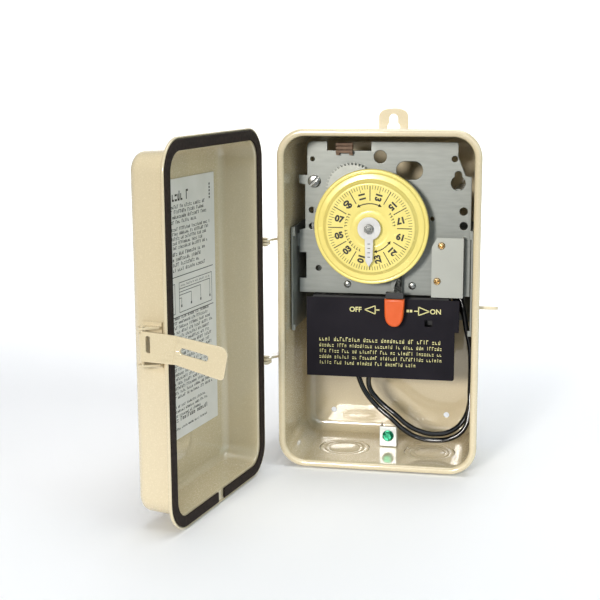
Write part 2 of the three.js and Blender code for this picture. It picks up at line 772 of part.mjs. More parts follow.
// The moulded block: a floor with barriers between its terminals.
function terminalBlock() {
  const { left, right, low, high, front, base, back } = BLOCK;
  const pitch = TERMINALS[1] - TERMINALS[0];
  const wall = (x) => box(x - 1, x + 1, front, base + 1, low, -18);
  const barriers = TERMINALS.map((x) => wall(x - pitch / 2));
  const lastBarrier = box(right - 2, right, front, base + 1, low, -18);
  const shelf = box(left, right, front, base + 1, -20, high);
  return join(box(left, right, base, back, low, high), shelf, ...barriers, lastBarrier);
}

const terminalScrew = (x) => rodY(x, -42, BLOCK.base - GAP - 2.4, BLOCK.base - GAP, 3.6, COARSE, 4.2);

// The black fibre sheet over the terminals.
function insulator() {
  const { y, thick, left, right, stepX, stepZ } = INSULATOR;
  const outline = path(
    [left, -57.5],
    ...arc(stepX - 1.5, -56, 1.5, -90, 0, 3),
    [stepX, stepZ],
    [right, stepZ],
    [right, -1],
    [left, -1],
  );
  const hook = box(left + 3, left + 14, y - thick - 1.2, y, -1.6, 2.2);
  return cut(
    join(faceSheet(outline, y - thick, thick), hook),
    box(29.9, 35.1, y - 3, y + 1, -19.7, -15.1),
  );
}

function groundBracket() {
  const { x, halfW, low, high, front, depth, screwZ } = GROUND;
  const sheet = 1.3;
  return cut(
    join(
      box(x - halfW, x + halfW, front, front + sheet, low, high),
      box(x - halfW, x - halfW + sheet, front, front + depth, low, high),
      box(x + halfW - sheet, x + halfW, front, front + depth, low, high),
      box(x - halfW, x + halfW, front, front + depth, low, low + sheet),
    ),
    rodY(x, screwZ, front - 1, front + 3, 2.2),
  );
}

const groundScrew = () =>
  join(
    rodY(GROUND.x, GROUND.screwZ, GROUND.front - 3.2, GROUND.front - GAP, 4, 6),
    rodY(GROUND.x, GROUND.screwZ, GROUND.front - 1, GROUND.front + 5, 1.9),
  );

// ---- the two motor leads, each held at both ends ----
const WIRES = {
  wire_outer: [
    [-21, -38.4, -48.5],
    [-19.6, -38.2, -54.5],
    [-17.6, -38, -61.3],
    [-13.2, -38, -71],
    [-5.5, -38.4, -80.4],
    [6.3, -41, -89.4],
    [15.1, -42, -96.7],
    [24.8, -42, -101.8],
    [37.3, -42.5, -103.2],
    [49.6, -43.2, -100.6],
    [57.8, -42, -94],
    [60.8, -39, -83],
    [61, -35, -67],
    [61, -33, -50],
    [60, -33, -36],
    [57.6, -35.6, -24],
    [56, -39.4, -12],
    [53.4, -38.4, -2],
    [50.8, -36.2, 6.4],
    [49, -35.4, 13.7],
  ],
  wire_inner: [
    [-4.4, -38.4, -48.5],
    [-8.6, -38.3, -55],
    [-10.7, -38, -62],
    [-9.6, -38, -69.1],
    [-5, -38.2, -75.4],
    [1.2, -39.2, -80.8],
    [8.8, -41, -86],
    [17.6, -41.6, -93],
    [27.4, -41.6, -97.6],
    [38, -41.4, -99],
    [48.8, -39.6, -96.6],
    [56.6, -36.6, -89.6],
    [60.4, -32.4, -79],
    [60.8, -29, -64],
    [60.8, -28, -50],
    [59.8, -28, -36],
    [57.2, -30, -24],
    [54.6, -33.4, -12],
    [49.6, -33.4, -3],
    [44.4, -33.6, 5],
    [42, -34, 13.7],
  ],
};

function wire(points) {
  const knots = points.map((p) => new THREE.Vector3(...p));
  const route = new THREE.CatmullRomCurve3(knots, false, "centripetal");
  const section = new THREE.Shape(
    Array.from({ length: 8 }, (_, i) => {
      const a = (i * Math.PI) / 4;
      return new THREE.Vector2(WIRE_R * Math.cos(a), WIRE_R * Math.sin(a));
    }),
  );
  return new THREE.ExtrudeGeometry(section, { steps: 32, extrudePath: route });
}

function buildMechanism(root) {
  add(root, "mechanism_plate", mechanismPlate(), galvanised);
  add(root, "standoff_left", standoff(-48.9, 79.1), screwSteel);
  add(root, "standoff_right", standoff(50.6, 71), screwSteel);
  add(root, "plate_screw", slottedScrew(-48.9, 79.1, 4.35), screwSteel);
  add(root, "plate_rivet_left", headedPin(-25.4, 7.2, PLATE.front - GAP, 2.6, 1, 1.3, 1.6), screwSteel);
  add(root, "plate_rivet_right", headedPin(20, 7.2, PLATE.front - GAP, 2.6, 1, 1.3, 1.6), screwSteel);
  add(root, "top_catch", topCatch(), fibre);
  add(root, "cover_bracket", coverBracket(), paleSteel);
  add(root, "cover_rivet_upper", coverRivet(40.6, 36.8), brass);
  add(root, "cover_rivet_lower", coverRivet(37.9, 12.2), brass);
  add(root, "motor_can", motorCan(), screwSteel);
  add(root, "auxiliary_switch", auxiliarySwitch(), black);
  add(root, "dial", dial(), yellow);
  add(root, "dial_gear", dialGear(), screwSteel);
  add(root, "idler_gear", idlerGear(), screwSteel);
  add(root, "motor_pinion", motorPinion(), brass);
  add(root, "dial_arbor", dialArbor(), screwSteel);
  add(root, "idler_arbor", idlerArbor(), screwSteel);
  add(root, "pointer", pointer(), silver);
  add(root, "arbor_nut", arborNut(), screwSteel);
  add(root, "lever_arm", leverArm(), galvanised);
  add(root, "lever_knob", leverKnob(), orange);
  add(root, "lever_rivet", leverRivet(), screwSteel);
  add(root, "lever_collar", leverCollar(), black);
}

function buildWiring(root) {
  add(root, "contact_bar", contactBar(), fibre);
  [-18, 28].forEach((x, i) => {
    const side = ["left", "right"][i];
    add(root, `moving_contact_${side}`, movingContact(x), brass);
    add(root, `fixed_contact_${side}`, fixedContact(x), brass);
  });
  add(root, "terminal_block", terminalBlock(), black);
  TERMINALS.forEach((x, i) => add(root, `terminal_screw_${i + 1}`, terminalScrew(x), brass));
  add(root, "insulator", insulator(), black);
  add(root, "ground_bracket", groundBracket(), galvanised);
  add(root, "ground_screw", groundScrew(), green);
  for (const [name, points] of Object.entries(WIRES)) add(root, name, wire(points), black);
}

buildCase(timeSwitch);
buildDoor(timeSwitch);
buildMechanism(timeSwitch);
buildWiring(timeSwitch);

export default timeSwitch;
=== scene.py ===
# A mechanical dial time switch in an open outdoor enclosure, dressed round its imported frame.
# Shapes are drawn in millimetres in the record's frame: +X right, +Y into the wall, +Z up.
# The door's pieces are drawn shut, and AJAR then opens them to where they rest.
import json
import math
import random

import bmesh
import bpy
from mathutils import Matrix, Vector
from mathutils.geometry import interpolate_bezier, tessellate_polygon

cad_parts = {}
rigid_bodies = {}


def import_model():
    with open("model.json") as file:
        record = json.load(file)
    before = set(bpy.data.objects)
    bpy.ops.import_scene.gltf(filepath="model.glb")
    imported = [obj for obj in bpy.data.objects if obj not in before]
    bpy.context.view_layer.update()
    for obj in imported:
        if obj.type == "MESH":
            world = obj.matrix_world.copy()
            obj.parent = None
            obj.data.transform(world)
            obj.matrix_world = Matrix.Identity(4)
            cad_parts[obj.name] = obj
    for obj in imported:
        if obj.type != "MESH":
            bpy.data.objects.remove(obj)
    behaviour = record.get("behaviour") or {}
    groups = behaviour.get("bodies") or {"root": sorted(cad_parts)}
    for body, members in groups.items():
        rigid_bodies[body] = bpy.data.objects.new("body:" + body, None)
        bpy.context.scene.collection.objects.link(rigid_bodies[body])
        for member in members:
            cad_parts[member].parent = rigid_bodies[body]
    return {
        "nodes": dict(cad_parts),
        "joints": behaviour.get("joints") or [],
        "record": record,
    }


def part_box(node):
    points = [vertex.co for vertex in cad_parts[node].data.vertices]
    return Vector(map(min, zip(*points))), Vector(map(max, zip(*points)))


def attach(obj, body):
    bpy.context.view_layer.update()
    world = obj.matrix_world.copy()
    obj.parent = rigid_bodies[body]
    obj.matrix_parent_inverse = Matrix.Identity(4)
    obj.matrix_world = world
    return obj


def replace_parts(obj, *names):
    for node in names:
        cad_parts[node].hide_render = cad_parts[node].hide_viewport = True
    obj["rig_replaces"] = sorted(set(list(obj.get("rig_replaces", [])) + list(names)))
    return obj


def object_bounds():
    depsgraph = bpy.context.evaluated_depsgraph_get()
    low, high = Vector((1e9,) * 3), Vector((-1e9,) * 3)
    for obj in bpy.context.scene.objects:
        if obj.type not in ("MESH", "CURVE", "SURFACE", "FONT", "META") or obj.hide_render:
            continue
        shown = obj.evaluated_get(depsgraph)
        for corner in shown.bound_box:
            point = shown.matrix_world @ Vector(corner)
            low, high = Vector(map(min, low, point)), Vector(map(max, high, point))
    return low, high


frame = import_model()
cad_box = [list(corner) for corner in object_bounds()]

MM = 0.001
RECORD = frame["record"]
BODY = {node: body for body, nodes in RECORD["behaviour"]["bodies"].items() for node in nodes}
SLOT = {row["node"]: row["material_slot"] for row in RECORD["subparts"]}
JOINT = {joint["name"]: joint for joint in frame["joints"]}


def span(node):
    """A node's lowest and highest corner at rest, in millimetres."""
    low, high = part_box(node)
    return low / MM, high / MM


def middle(node):
    low, high = span(node)
    return (low + high) / 2


# ---- the camera ----
CAMERA_PLACE = (0.1128, -0.8952, 0.1594)  # in metres
CAMERA_LENS = 74.96
YAW, PITCH, ROLL = (math.radians(angle) for angle in (11.42, 10.72, -0.3))


def add_camera():
    camera = bpy.data.objects.new("camera", bpy.data.cameras.new("camera"))
    camera.data.lens = CAMERA_LENS
    camera.data.sensor_width = 36
    aim = Matrix.Rotation(YAW, 4, "Z") @ Matrix.Rotation(math.pi / 2 - PITCH, 4, "X")
    camera.matrix_world = Matrix.Translation(CAMERA_PLACE) @ aim @ Matrix.Rotation(ROLL, 4, "Z")
    bpy.context.scene.collection.objects.link(camera)
    bpy.context.scene.camera = camera


add_camera()


# ---- materials ----
NOISE_LOW, NOISE_HIGH = 0.3, 0.7  # nearly all of a noise texture's values lie between these


def noise(tree, coords, scale, detail=2.0):
    node = tree.nodes.new("ShaderNodeTexNoise")
    node.inputs["Scale"].default_value = scale
    node.inputs["Detail"].default_value = detail
    tree.links.new(coords, node.inputs["Vector"])
    return node.outputs["Fac"]


def spread(tree, value, low, high):
    """Stretches a noise's values over low to high."""
    node = tree.nodes.new("ShaderNodeMapRange")
    node.inputs["From Min"].default_value = NOISE_LOW
    node.inputs["From Max"].default_value = NOISE_HIGH
    node.inputs["To Min"].default_value = low
    node.inputs["To Max"].default_value = high
    tree.links.new(value, node.inputs["Value"])
    return node.outputs["Result"]


def tint(tree, value, dark, light):
    node = tree.nodes.new("ShaderNodeMix")
    node.data_type = "RGBA"
    node.inputs["A"].default_value = (*dark, 1)
    node.inputs["B"].default_value = (*light, 1)
    tree.links.new(value, node.inputs["Factor"])
    return node.outputs["Result"]


def raised(tree, height, distance):
    node = tree.nodes.new("ShaderNodeBump")
    node.inputs["Distance"].default_value = distance * MM
    tree.links.new(height, node.inputs["Height"])
    return node.outputs["Normal"]


def shader(name, **values):
    """A material with a bare Principled shader, and its object coordinates stretched by grain."""
    made = bpy.data.materials.new(name)
    made.use_nodes = True
    tree = made.node_tree
    surface = tree.nodes["Principled BSDF"]
    grain = values.pop("grain", (1, 1, 1))
    for key, value in values.items():
        surface.inputs[key.replace("_", " ")].default_value = value
    source = tree.nodes.new("ShaderNodeTexCoord")
    stretch = tree.nodes.new("ShaderNodeMapping")
    stretch.inputs["Scale"].default_value = grain
    tree.links.new(source.outputs["Object"], stretch.inputs["Vector"])
    return made, tree, surface, stretch.outputs["Vector"]


def finish(name, dark, light, gloss, patch, bump=None, **values):
    """A look: a colour that drifts from dark to light in patches, a roughness between two limits,
    and, where bump gives their noise scale and height in millimetres, fine bumps."""
    made, tree, surface, coords = shader(name, **values)
    drift = spread(tree, noise(tree, coords, patch), 0, 1)
    tree.links.new(tint(tree, drift, dark, light), surface.inputs["Base Color"])
    shine = spread(tree, noise(tree, coords, patch * 4, 4), *gloss)
    tree.links.new(shine, surface.inputs["Roughness"])
    if bump:
        scale, height = bump
        normal = raised(tree, noise(tree, coords, scale, 3), height)
        tree.links.new(normal, surface.inputs["Normal"])
    return made


def metal(name, dark, light, gloss, **more):
    return finish(name, dark, light, gloss, Metallic=1.0, **more)


LOOK = {
    "beige_paint": finish(
        "beige_enamel", (0.665, 0.562, 0.37), (0.675, 0.572, 0.38), (0.26, 0.28),
        patch=320, bump=(900, 0.006), Coat_Weight=1.0, Coat_Roughness=0.03, Coat_IOR=1.6,
    ),
    "galvanised": finish(
        "galvanised_sheet", (0.238, 0.25, 0.234), (0.272, 0.285, 0.266), (0.36, 0.46),
        patch=70, bump=(520, 0.012), grain=(1, 1, 7), Metallic=0.5,
    ),
    "pale_steel": finish(
        "zinc_cover", (0.355, 0.365, 0.335), (0.38, 0.39, 0.36), (0.42, 0.52),
        patch=60, bump=(700, 0.008), Metallic=0.6,
    ),
    "screw_steel": metal(
        "plated_steel", (0.29, 0.295, 0.28), (0.36, 0.365, 0.35), (0.24, 0.32), patch=120,
    ),
    "brass": metal(
        "brass", (0.52, 0.36, 0.17), (0.66, 0.48, 0.26), (0.22, 0.36), patch=240,
    ),
    "dial_yellow": finish(
        "dial_enamel", (0.86, 0.725, 0.215), (0.90, 0.76, 0.245), (0.2, 0.28),
        patch=40, bump=(1500, 0.006), Metallic=0.1, Coat_Weight=0.3, Coat_Roughness=0.12,
    ),
    "silver_paint": finish(
        "pointer_white", (0.60, 0.585, 0.58), (0.67, 0.66, 0.64), (0.3, 0.42), patch=160,
    ),
    "orange_plastic": finish(
        "orange_plastic", (0.67, 0.088, 0.008), (0.73, 0.11, 0.013), (0.3, 0.4),
        patch=90, bump=(1600, 0.01), Subsurface_Weight=0.05,
    ),
    "black_plastic": finish(
        "black_moulding", (0.012, 0.012, 0.013), (0.022, 0.022, 0.024), (0.36, 0.5),
        patch=90, bump=(1400, 0.012),
    ),
    "insulator_sheet": finish(
        "insulating_sheet", (0.006, 0.005, 0.009), (0.011, 0.009, 0.014), (0.45, 0.55),
        patch=50, bump=(1100, 0.01), Specular_IOR_Level=0.12,
    ),
    "wire_insulation": finish(
        "lead_sheath", (0.003, 0.003, 0.004), (0.006, 0.006, 0.007), (0.08, 0.13), patch=70,
    ),
    "brown_fibre": finish(
        "brown_fibre", (0.13, 0.075, 0.045), (0.22, 0.135, 0.085), (0.55, 0.75),
        patch=260, bump=(900, 0.03), grain=(1, 1, 0.25),
    ),
    "gasket_foam": finish(
        "gasket_foam", (0.014, 0.008, 0.006), (0.032, 0.019, 0.015), (0.72, 0.92),
        patch=420, bump=(1300, 0.09), Specular_IOR_Level=0.3,
    ),
    "label_paper": finish(
        "label_paper", (0.78, 0.76, 0.70), (0.85, 0.83, 0.78), (0.55, 0.7),
        patch=60, bump=(1600, 0.01),
    ),
    "green_screw": finish(
        "green_screw", (0.006, 0.15, 0.075), (0.015, 0.27, 0.14), (0.2, 0.3), patch=30, Metallic=0.6,
    ),
}
BRIGHT_ZINC = finish(
    "bright_zinc", (0.74, 0.76, 0.74), (0.84, 0.86, 0.84), (0.28, 0.4), patch=90, Metallic=0.4,
)
INK = {
    "black": finish("black_ink", (0.012, 0.011, 0.008), (0.022, 0.02, 0.014), (0.5, 0.6), patch=120),
    "grey": finish("grey_ink", (0.03, 0.03, 0.033), (0.06, 0.06, 0.064), (0.6, 0.7), patch=120),
    "straw": finish("straw_ink", (0.62, 0.58, 0.24), (0.74, 0.70, 0.34), (0.5, 0.6), patch=160),
}


# ---- where pieces go ----
def put(obj, node):
    """Lets obj stand for a CAD node: it rides on its body and takes its slot's look."""
    obj.data.materials.clear()
    obj.data.materials.append(LOOK[SLOT[node]])
    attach(obj, BODY[node])
    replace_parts(obj, node)


def print_on(obj, node, ink):
    """Lets obj be ink on a CAD node, on whose body it rides."""
    obj.data.materials.clear()
    obj.data.materials.append(INK[ink])
    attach(obj, BODY[node])


HINGE = Vector(JOINT["door_hinge"]["pos_m"]) / MM
OPENED = math.radians(-JOINT["door_hinge"]["range_deg"][0])
AJAR = (
    Matrix.Translation(HINGE)
    @ Matrix.Rotation(OPENED, 4, Vector(JOINT["door_hinge"]["axis"]))
    @ Matrix.Translation(-HINGE)
)


# ---- the two leads, from the terminals under the insulator to the auxiliary switch ----
LEAD_DIAMETER = 3.6
LENGTH_STEPS = 24  # the pieces that each stretch of a lead is split into
LEADS = {  # the points that each lead's middle passes through, from its terminal
    "wire_outer": [
        (-21, -38.4, -48.5), (-19.6, -38.2, -54.5), (-17.6, -38, -61.3), (-13.2, -38, -71),
        (-5.5, -38.4, -80.4), (6.3, -41, -89.4), (15.1, -42, -96.7), (24.8, -42, -101.8),
        (37.3, -42.5, -103.2), (49.6, -43.2, -100.6), (57.8, -42, -94), (60.8, -39, -83),
        (61, -35, -67), (61, -33, -50), (60, -33, -36), (57.6, -35.6, -24),
        (56, -39.4, -12), (53.4, -38.4, -2), (50.8, -36.2, 6.4), (49, -35.4, 13.7),
    ],
    "wire_inner": [
        (-4.4, -38.4, -48.5), (-8.6, -38.3, -55), (-10.7, -38, -62), (-9.6, -38, -69.1),
        (-5, -38.2, -75.4), (1.2, -39.2, -80.8), (8.8, -41, -86), (17.6, -41.6, -93),
        (27.4, -41.6, -97.6), (38, -41.4, -99), (48.8, -39.6, -96.6), (56.6, -36.6, -89.6),
        (60.4, -32.4, -79), (60.8, -29, -64), (60.8, -28, -50), (59.8, -28, -36), (57.2, -30, -24),
        (54.6, -33.4, -12), (49.6, -33.4, -3), (44.4, -33.6, 5), (42, -34, 13.7),
    ],
}


def add_lead(node, route):
    curve = bpy.data.curves.new(node + "_lead", "CURVE")
    curve.dimensions = "3D"
    curve.bevel_depth = LEAD_DIAMETER / 2 * MM
    curve.bevel_resolution = 8
    curve.resolution_u = 16
    curve.use_fill_caps = True
    spline = curve.splines.new("BEZIER")
    spline.bezier_points.add(len(route) - 1)
    for point, place in zip(spline.bezier_points, route):
        point.co = Vector(place) * MM
        point.handle_left_type = point.handle_right_type = "AUTO"
    lead = bpy.data.objects.new(node + "_lead", curve)
    bpy.context.scene.collection.objects.link(lead)
    bpy.context.view_layer.update()
    for a, b in zip(spline.bezier_points, spline.bezier_points[1:]):
        steps = interpolate_bezier(a.co, a.handle_right, b.handle_left, b.co, LENGTH_STEPS)
    put(lead, node)


for node, route in LEADS.items():
    add_lead(node, route)


# ---- mesh making ----
SHARP = math.radians(35)  # edges that turn by more than this are rounded


def solid(name, points, faces, place=Matrix()):
    """A closed mesh from points in millimetres, with its faces turned outward and shaded smooth."""
    bm = bmesh.new()
    corners = [bm.verts.new((place @ Vector(p)) * MM) for p in points]
    for face in faces:
        bm.faces.new([corners[i] for i in face])
    bmesh.ops.remove_doubles(bm, verts=bm.verts, dist=1e-8)
    bmesh.ops.recalc_face_normals(bm, faces=bm.faces)
    mesh = bpy.data.meshes.new(name)
    bm.to_mesh(mesh)
    bm.free()
    mesh.shade_smooth()
    obj = bpy.data.objects.new(name, mesh)
    bpy.context.scene.collection.objects.link(obj)
    return obj


def soften(obj, width, segments=3):
    """Rounds the sharp edges by width and keeps the flats flat in the shading."""
    if width:
        bevel = obj.modifiers.new("edges", "BEVEL")
        bevel.width = width * MM
        bevel.segments = segments
        bevel.limit_method = "ANGLE"
        bevel.angle_limit = SHARP
    obj.modifiers.new("shading", "WEIGHTED_NORMAL").keep_sharp = True
    return obj


def combine(obj, others, operation):
    """Joins the others to obj, or takes them out of it, and removes them."""
    for other in others:
        step = obj.modifiers.new("step", "BOOLEAN")
        step.operation = operation
        step.solver = "EXACT"
        step.object = other
    bpy.context.view_layer.update()
    made = obj.evaluated_get(bpy.context.evaluated_depsgraph_get())
    obj.data = bpy.data.meshes.new_from_object(made)
    obj.modifiers.clear()
    for other in others:
        bpy.data.objects.remove(other)
    obj.data.shade_smooth()
    return obj


def arc(cx, cy, radius, start, end, steps):
    """Points of an arc, its angles in degrees."""
    angles = [math.radians(start + (end - start) * i / steps) for i in range(steps + 1)]
    return [(cx + radius * math.cos(a), cy + radius * math.sin(a)) for a in angles]


def flow(start, leave, arrive, end, points):
    """Points of a Bezier curve in the plane."""
    return [(p[0], p[1]) for p in interpolate_bezier(start, leave, arrive, end, points)]


def circle(cx, cy, radius, steps=40):
    return arc(cx, cy, radius, 0, 360 - 360 / steps, steps - 1)


def round_rect(x0, y0, x1, y1, r, steps=8):
    corners = ((x1 - r, y1 - r), (x0 + r, y1 - r), (x0 + r, y0 + r), (x1 - r, y0 + r))
    return [p for q, (x, y) in enumerate(corners) for p in arc(x, y, r, 90 * q, 90 * q + 90, steps)]


def keyhole(x, z, eye, rise, slot):
    """A round hole with a narrower one that opens out of its top."""
    meet = math.degrees(math.acos(slot / eye))
    return arc(x, z, eye, 180 - meet, 360 + meet, 30) + arc(x, z + rise, slot, 0, 180, 14)


def box(name, low, high, place=Matrix()):
    xs, ys, zs = zip(low, high)
    points = [(x, y, z) for x in xs for y in ys for z in zs]
    faces = ((0, 1, 3, 2), (4, 6, 7, 5), (0, 4, 5, 1), (2, 3, 7, 6), (0, 2, 6, 4), (1, 5, 7, 3))
    return solid(name, points, faces, place)


def lathe(name, profile, place, sides):
    """Turns (radius, along) points about the Y axis of place. The profile starts and ends on the axis,
    or closes on itself."""
    count = len(profile)
    points, faces = [], []
    for i in range(sides):
        a = 2 * math.pi * i / sides
        points += [(r * math.cos(a), along, r * math.sin(a)) for r, along in profile]
    closed = profile[0][0] > 0
    for i in range(sides):
        faces += between(i * count, (i + 1) % sides * count, count, closed)
    return solid(name, points, [face for face in faces if not on_axis(points, face)], place)


def on_axis(points, face):
    """Whether a face has shrunk to a line on the axis."""
    return sum(abs(points[i][0]) + abs(points[i][2]) < 1e-9 for i in face) > 2


UPRIGHT = Matrix.Rotation(math.pi / 2, 4, "X")  # turns a lathe's axis from Y to Z


def disc(radius, low, high, place, sides):
    """A plain disc or rod about the Y axis of place, to cut with or to join on."""
    return lathe("tool", [(0, low), (radius, low), (radius, high), (0, high)], place, sides)


def between(low, high, count, closed=True):
    """The quads that join two rows of count points, whose first points are low and high."""
    return [
        (low + i, low + (i + 1) % count, high + (i + 1) % count, high + i)
        for i in range(count if closed else count - 1)
    ]


def facing(front):
    """Places a sheet drawn in X and Z so that it reaches back from front."""
    return Matrix(((1, 0, 0, 0), (0, 0, 1, front), (0, 1, 0, 0), (0, 0, 0, 1)))


def side_on(x):
    """Places a sheet drawn in Y and Z so that it reaches outward from x."""
    return Matrix(((0, 0, 1, x), (1, 0, 0, 0), (0, 1, 0, 0), (0, 0, 0, 1)))


def wound(loop, left):
    """The loop, wound so that its material is on its left as an outline, or as a hole."""
    area = sum(a[0] * b[1] - b[0] * a[1] for a, b in zip(loop, loop[1:] + loop[:1]))
    return [Vector(p) for p in (loop if (area > 0) == left else loop[::-1])]


def shrunk(loop, distance):
    """The loop moved to its left by distance, with its corners mitred."""
    moved = []
    for i, here in enumerate(loop):
        arrive = (here - loop[i - 1]).normalized()
        leave = (loop[(i + 1) % len(loop)] - here).normalized()
        along = (arrive + leave).normalized()
        left = Vector((-along.y, along.x))
        moved.append(here + left * distance / max(left.x * -arrive.y + left.y * arrive.x, 0.4))
    return moved


def sheet(name, outline, holes, thick, place, ease=0.25, rounds=3):
    """A flat sheet with eased edges, drawn in two axes and thick along the third."""
    loops = [wound(outline, True)] + [wound(hole, False) for hole in holes]
    quarter = [math.pi / 2 * i / rounds for i in range(rounds + 1)]
    rim = [(ease * (1 - math.sin(a)), ease * (1 - math.cos(a))) for a in quarter]
    levels = rim + [(inset, thick - depth) for inset, depth in reversed(rim)]
    points, faces, first, last = [], [], [], []
    for loop in loops:
        start, count = len(points), len(loop)
        for inset, depth in levels:
            points += [(p.x, p.y, depth) for p in shrunk(loop, inset)]
        for level in range(len(levels) - 1):
            low = start + level * count
            faces += between(low, low + count, count)
        first += range(start, start + count)
        last += range(len(points) - count, len(points))
    caps = tessellate_polygon([[Vector((p.x, p.y, 0)) for p in shrunk(loop, ease)] for loop in loops])
    faces += [[first[i] for i in cap] for cap in caps] + [[last[i] for i in cap] for cap in caps]
    return soften(solid(name, points, faces, place), 0)


def ring(size, inset, steps=14):
    """A rounded rectangle in X and Z, from its right top corner round to its right bottom one."""
    half_w, half_h, corner = size
    r = max(corner - inset, 1)
    return round_rect(inset - half_w, inset - half_h, half_w - inset, half_h - inset, r, steps)


def sweep(name, stations, size, place=Matrix(), gap=None):
    """Carries a section of (inset, y) stations round a rounded rectangle: a tray with two flat backs,
    or, with a gap in its bottom side, a strip whose section is closed."""
    rings = [ring(size, inset) for inset, _ in stations]
    if gap:
        last = len(rings[0]) // 4
        rings = [
            [(gap[1], r[-last][1]), *r[-last:], *r[:-last], (gap[0], r[-last][1])] for r in rings
        ]
    count, bands = len(rings[0]), len(stations) - (0 if gap else 1)
    points = [(x, y, z) for loop, (_, y) in zip(rings, stations) for x, z in loop]
    faces = []
    for band in range(bands):
        faces += between(band * count, (band + 1) % len(stations) * count, count, closed=not gap)
    if gap:
        faces += [[s * count + end for s in range(len(stations))] for end in (0, count - 1)]
    else:
        faces += [range(count), range(len(points) - count, len(points))]
    return solid(name, points, faces, place)


# ---- the case ----
CASE_LOW, CASE_HIGH = span("case_shell")
CASE_SIZE = (CASE_HIGH.x, CASE_HIGH.z, 19)  # half width, half height, corner radius
SHEET = 1.5  # its thickness
WALL = 3.5  # the walls' outside, in from the bead's outside
BEAD = 2.5  # radius of the rolled bead round the opening
FILLET = 8.5  # radius of the bend between the back and the walls
BACK_HOLES = ((-42, -96), (42, -96))  # x and z
BACK_HOLE_RADIUS = 2.1
CUT = 4  # how far a hole's cutter reaches to each side
KNOCKOUT_SLIT = 0.3
KNOCKOUT_GROOVES = (14.2, 10.9)  # radii of the grooves between its rings
KEYHOLE = {"eye": 4.6, "rise": 6.7, "slot": 3.1}


def add_case():
    foot = WALL + 1 + FILLET
    front = CASE_LOW.y
    section = [
        *arc(foot, -FILLET, FILLET, 90, 180, 10),
        (WALL, front + 7.4),
        *arc(BEAD, front + BEAD, BEAD, 70, 350, 26),
        (WALL + SHEET, front + 7),
        *arc(foot, -FILLET, FILLET - SHEET, 180, 90, 10),
    ]
    case = sweep("case", section, CASE_SIZE)
    cutters = []
    for node in ("knockout_left", "knockout_right"):
        low, high = span(node)
        radius = (high.x - low.x) / 2 + KNOCKOUT_SLIT
        cutters.append(disc(radius, -CUT, CUT, Matrix.Translation(middle(node)) @ UPRIGHT, 96))
    for x, z in BACK_HOLES:
        cutters.append(disc(BACK_HOLE_RADIUS, -CUT, CUT, Matrix.Translation((x, 0, z)), 40))
    combine(case, cutters, "DIFFERENCE")
    put(soften(case, 0.2, 2), "case_shell")


def add_knockout(node):
    """A disc with ring grooves, which lies in the bottom wall and follows its slope."""
    low, high = span(node)
    rim, half, ease = (high.x - low.x) / 2, 0.6, 0.3
    mouth, bed, level = 0.5, 0.25, 0.1  # a groove's half width at its mouth and bed, and its bed's level
    tilt = Matrix.Rotation(math.atan2(high.z - low.z - 2 * half, high.y - low.y), 4, "X")
    place = Matrix.Translation(middle(node)) @ tilt @ UPRIGHT
    profile = [(0, -half), (rim - ease, -half), (rim, -ease), (rim, ease), (rim - ease, half)]
    for r in KNOCKOUT_GROOVES:
        profile += [(r + mouth, half), (r + bed, level), (r - bed, level), (r - mouth, half)]
    put(soften(lathe(node + "_disc", [*profile, (0, half)], place, 96), 0), node)


def add_hanger():
    low, high = span("hanger_tab")
    left, right, top, shoulder = low.x, high.x, high.z, high.z - 6.5
    x = (left + right) / 2
    outline = [
        (left, low.z), (right, low.z),
        *flow((right, shoulder), (right, shoulder + 4), (x + 7, top), (x, top), 12),
        *flow((x, top), (x - 7, top), (left, shoulder + 4), (left, shoulder), 12)[1:],
    ]
    opening = keyhole(x, top - 14, **KEYHOLE)
    put(sheet("hanging_strap", outline, [opening], high.y - low.y, facing(low.y), 0.35), "hanger_tab")


DROOP = math.radians(11)  # the hasp's slotted end and the staple both dip to the rear


def add_staple():
    low, high = span("padlock_staple")
    depth, thick, corner = 12.4, 2.2, 3.2
    tongue = round_rect(low.x - corner, -depth / 2, high.x, depth / 2, corner)
    outline = [(max(x, low.x), y) for x, y in tongue]
    eye = circle(high.x - 4.3, 0, 3.3)
    centre = middle("padlock_staple")
    place = Matrix.Translation((0, centre.y, centre.z)) @ Matrix.Rotation(-DROOP, 4, "X")
    place = place @ Matrix.Translation((0, 0, -thick / 2))
    put(sheet("staple", outline, [eye], thick, place, 0.4), "padlock_staple")


def add_hinges():
    """Each hinge is a leaf on the case and one on the door, curled round the same pin."""
    eye, bore = 3.8, circle(HINGE.x, HINGE.y, 1.7, 28)
    wall, lip = span("case_hinge_ear_upper")[1].x, -CASE_SIZE[0] - 2.2
    on_case = [
        (wall, -56), (wall, -69.7), (-68.8, -70.6), (-71.6, -74.2),
        *arc(HINGE.x, HINGE.y, eye, 40, -180, 24), (-79, -72), (-70, -58),
    ]
    on_door = [
        (lip, -77.6), (HINGE.x + 1.2, HINGE.y + eye),
        *arc(HINGE.x, HINGE.y, eye, 100, 260, 18), (HINGE.x + 1.2, HINGE.y - eye), (lip, -80.8),
    ]
    for side in ("upper", "lower"):
        for kind, outline, turn in (("case", on_case, Matrix()), ("door", on_door, AJAR)):
            node = f"{kind}_hinge_ear_{side}"
            low, high = span(node)
            place = turn @ Matrix.Translation((0, 0, low.z))
            put(sheet(node + "_leaf", outline, [bore], high.z - low.z, place, 0.25), node)
        add_pin(f"hinge_pin_{side}", 1.5, 0.9)


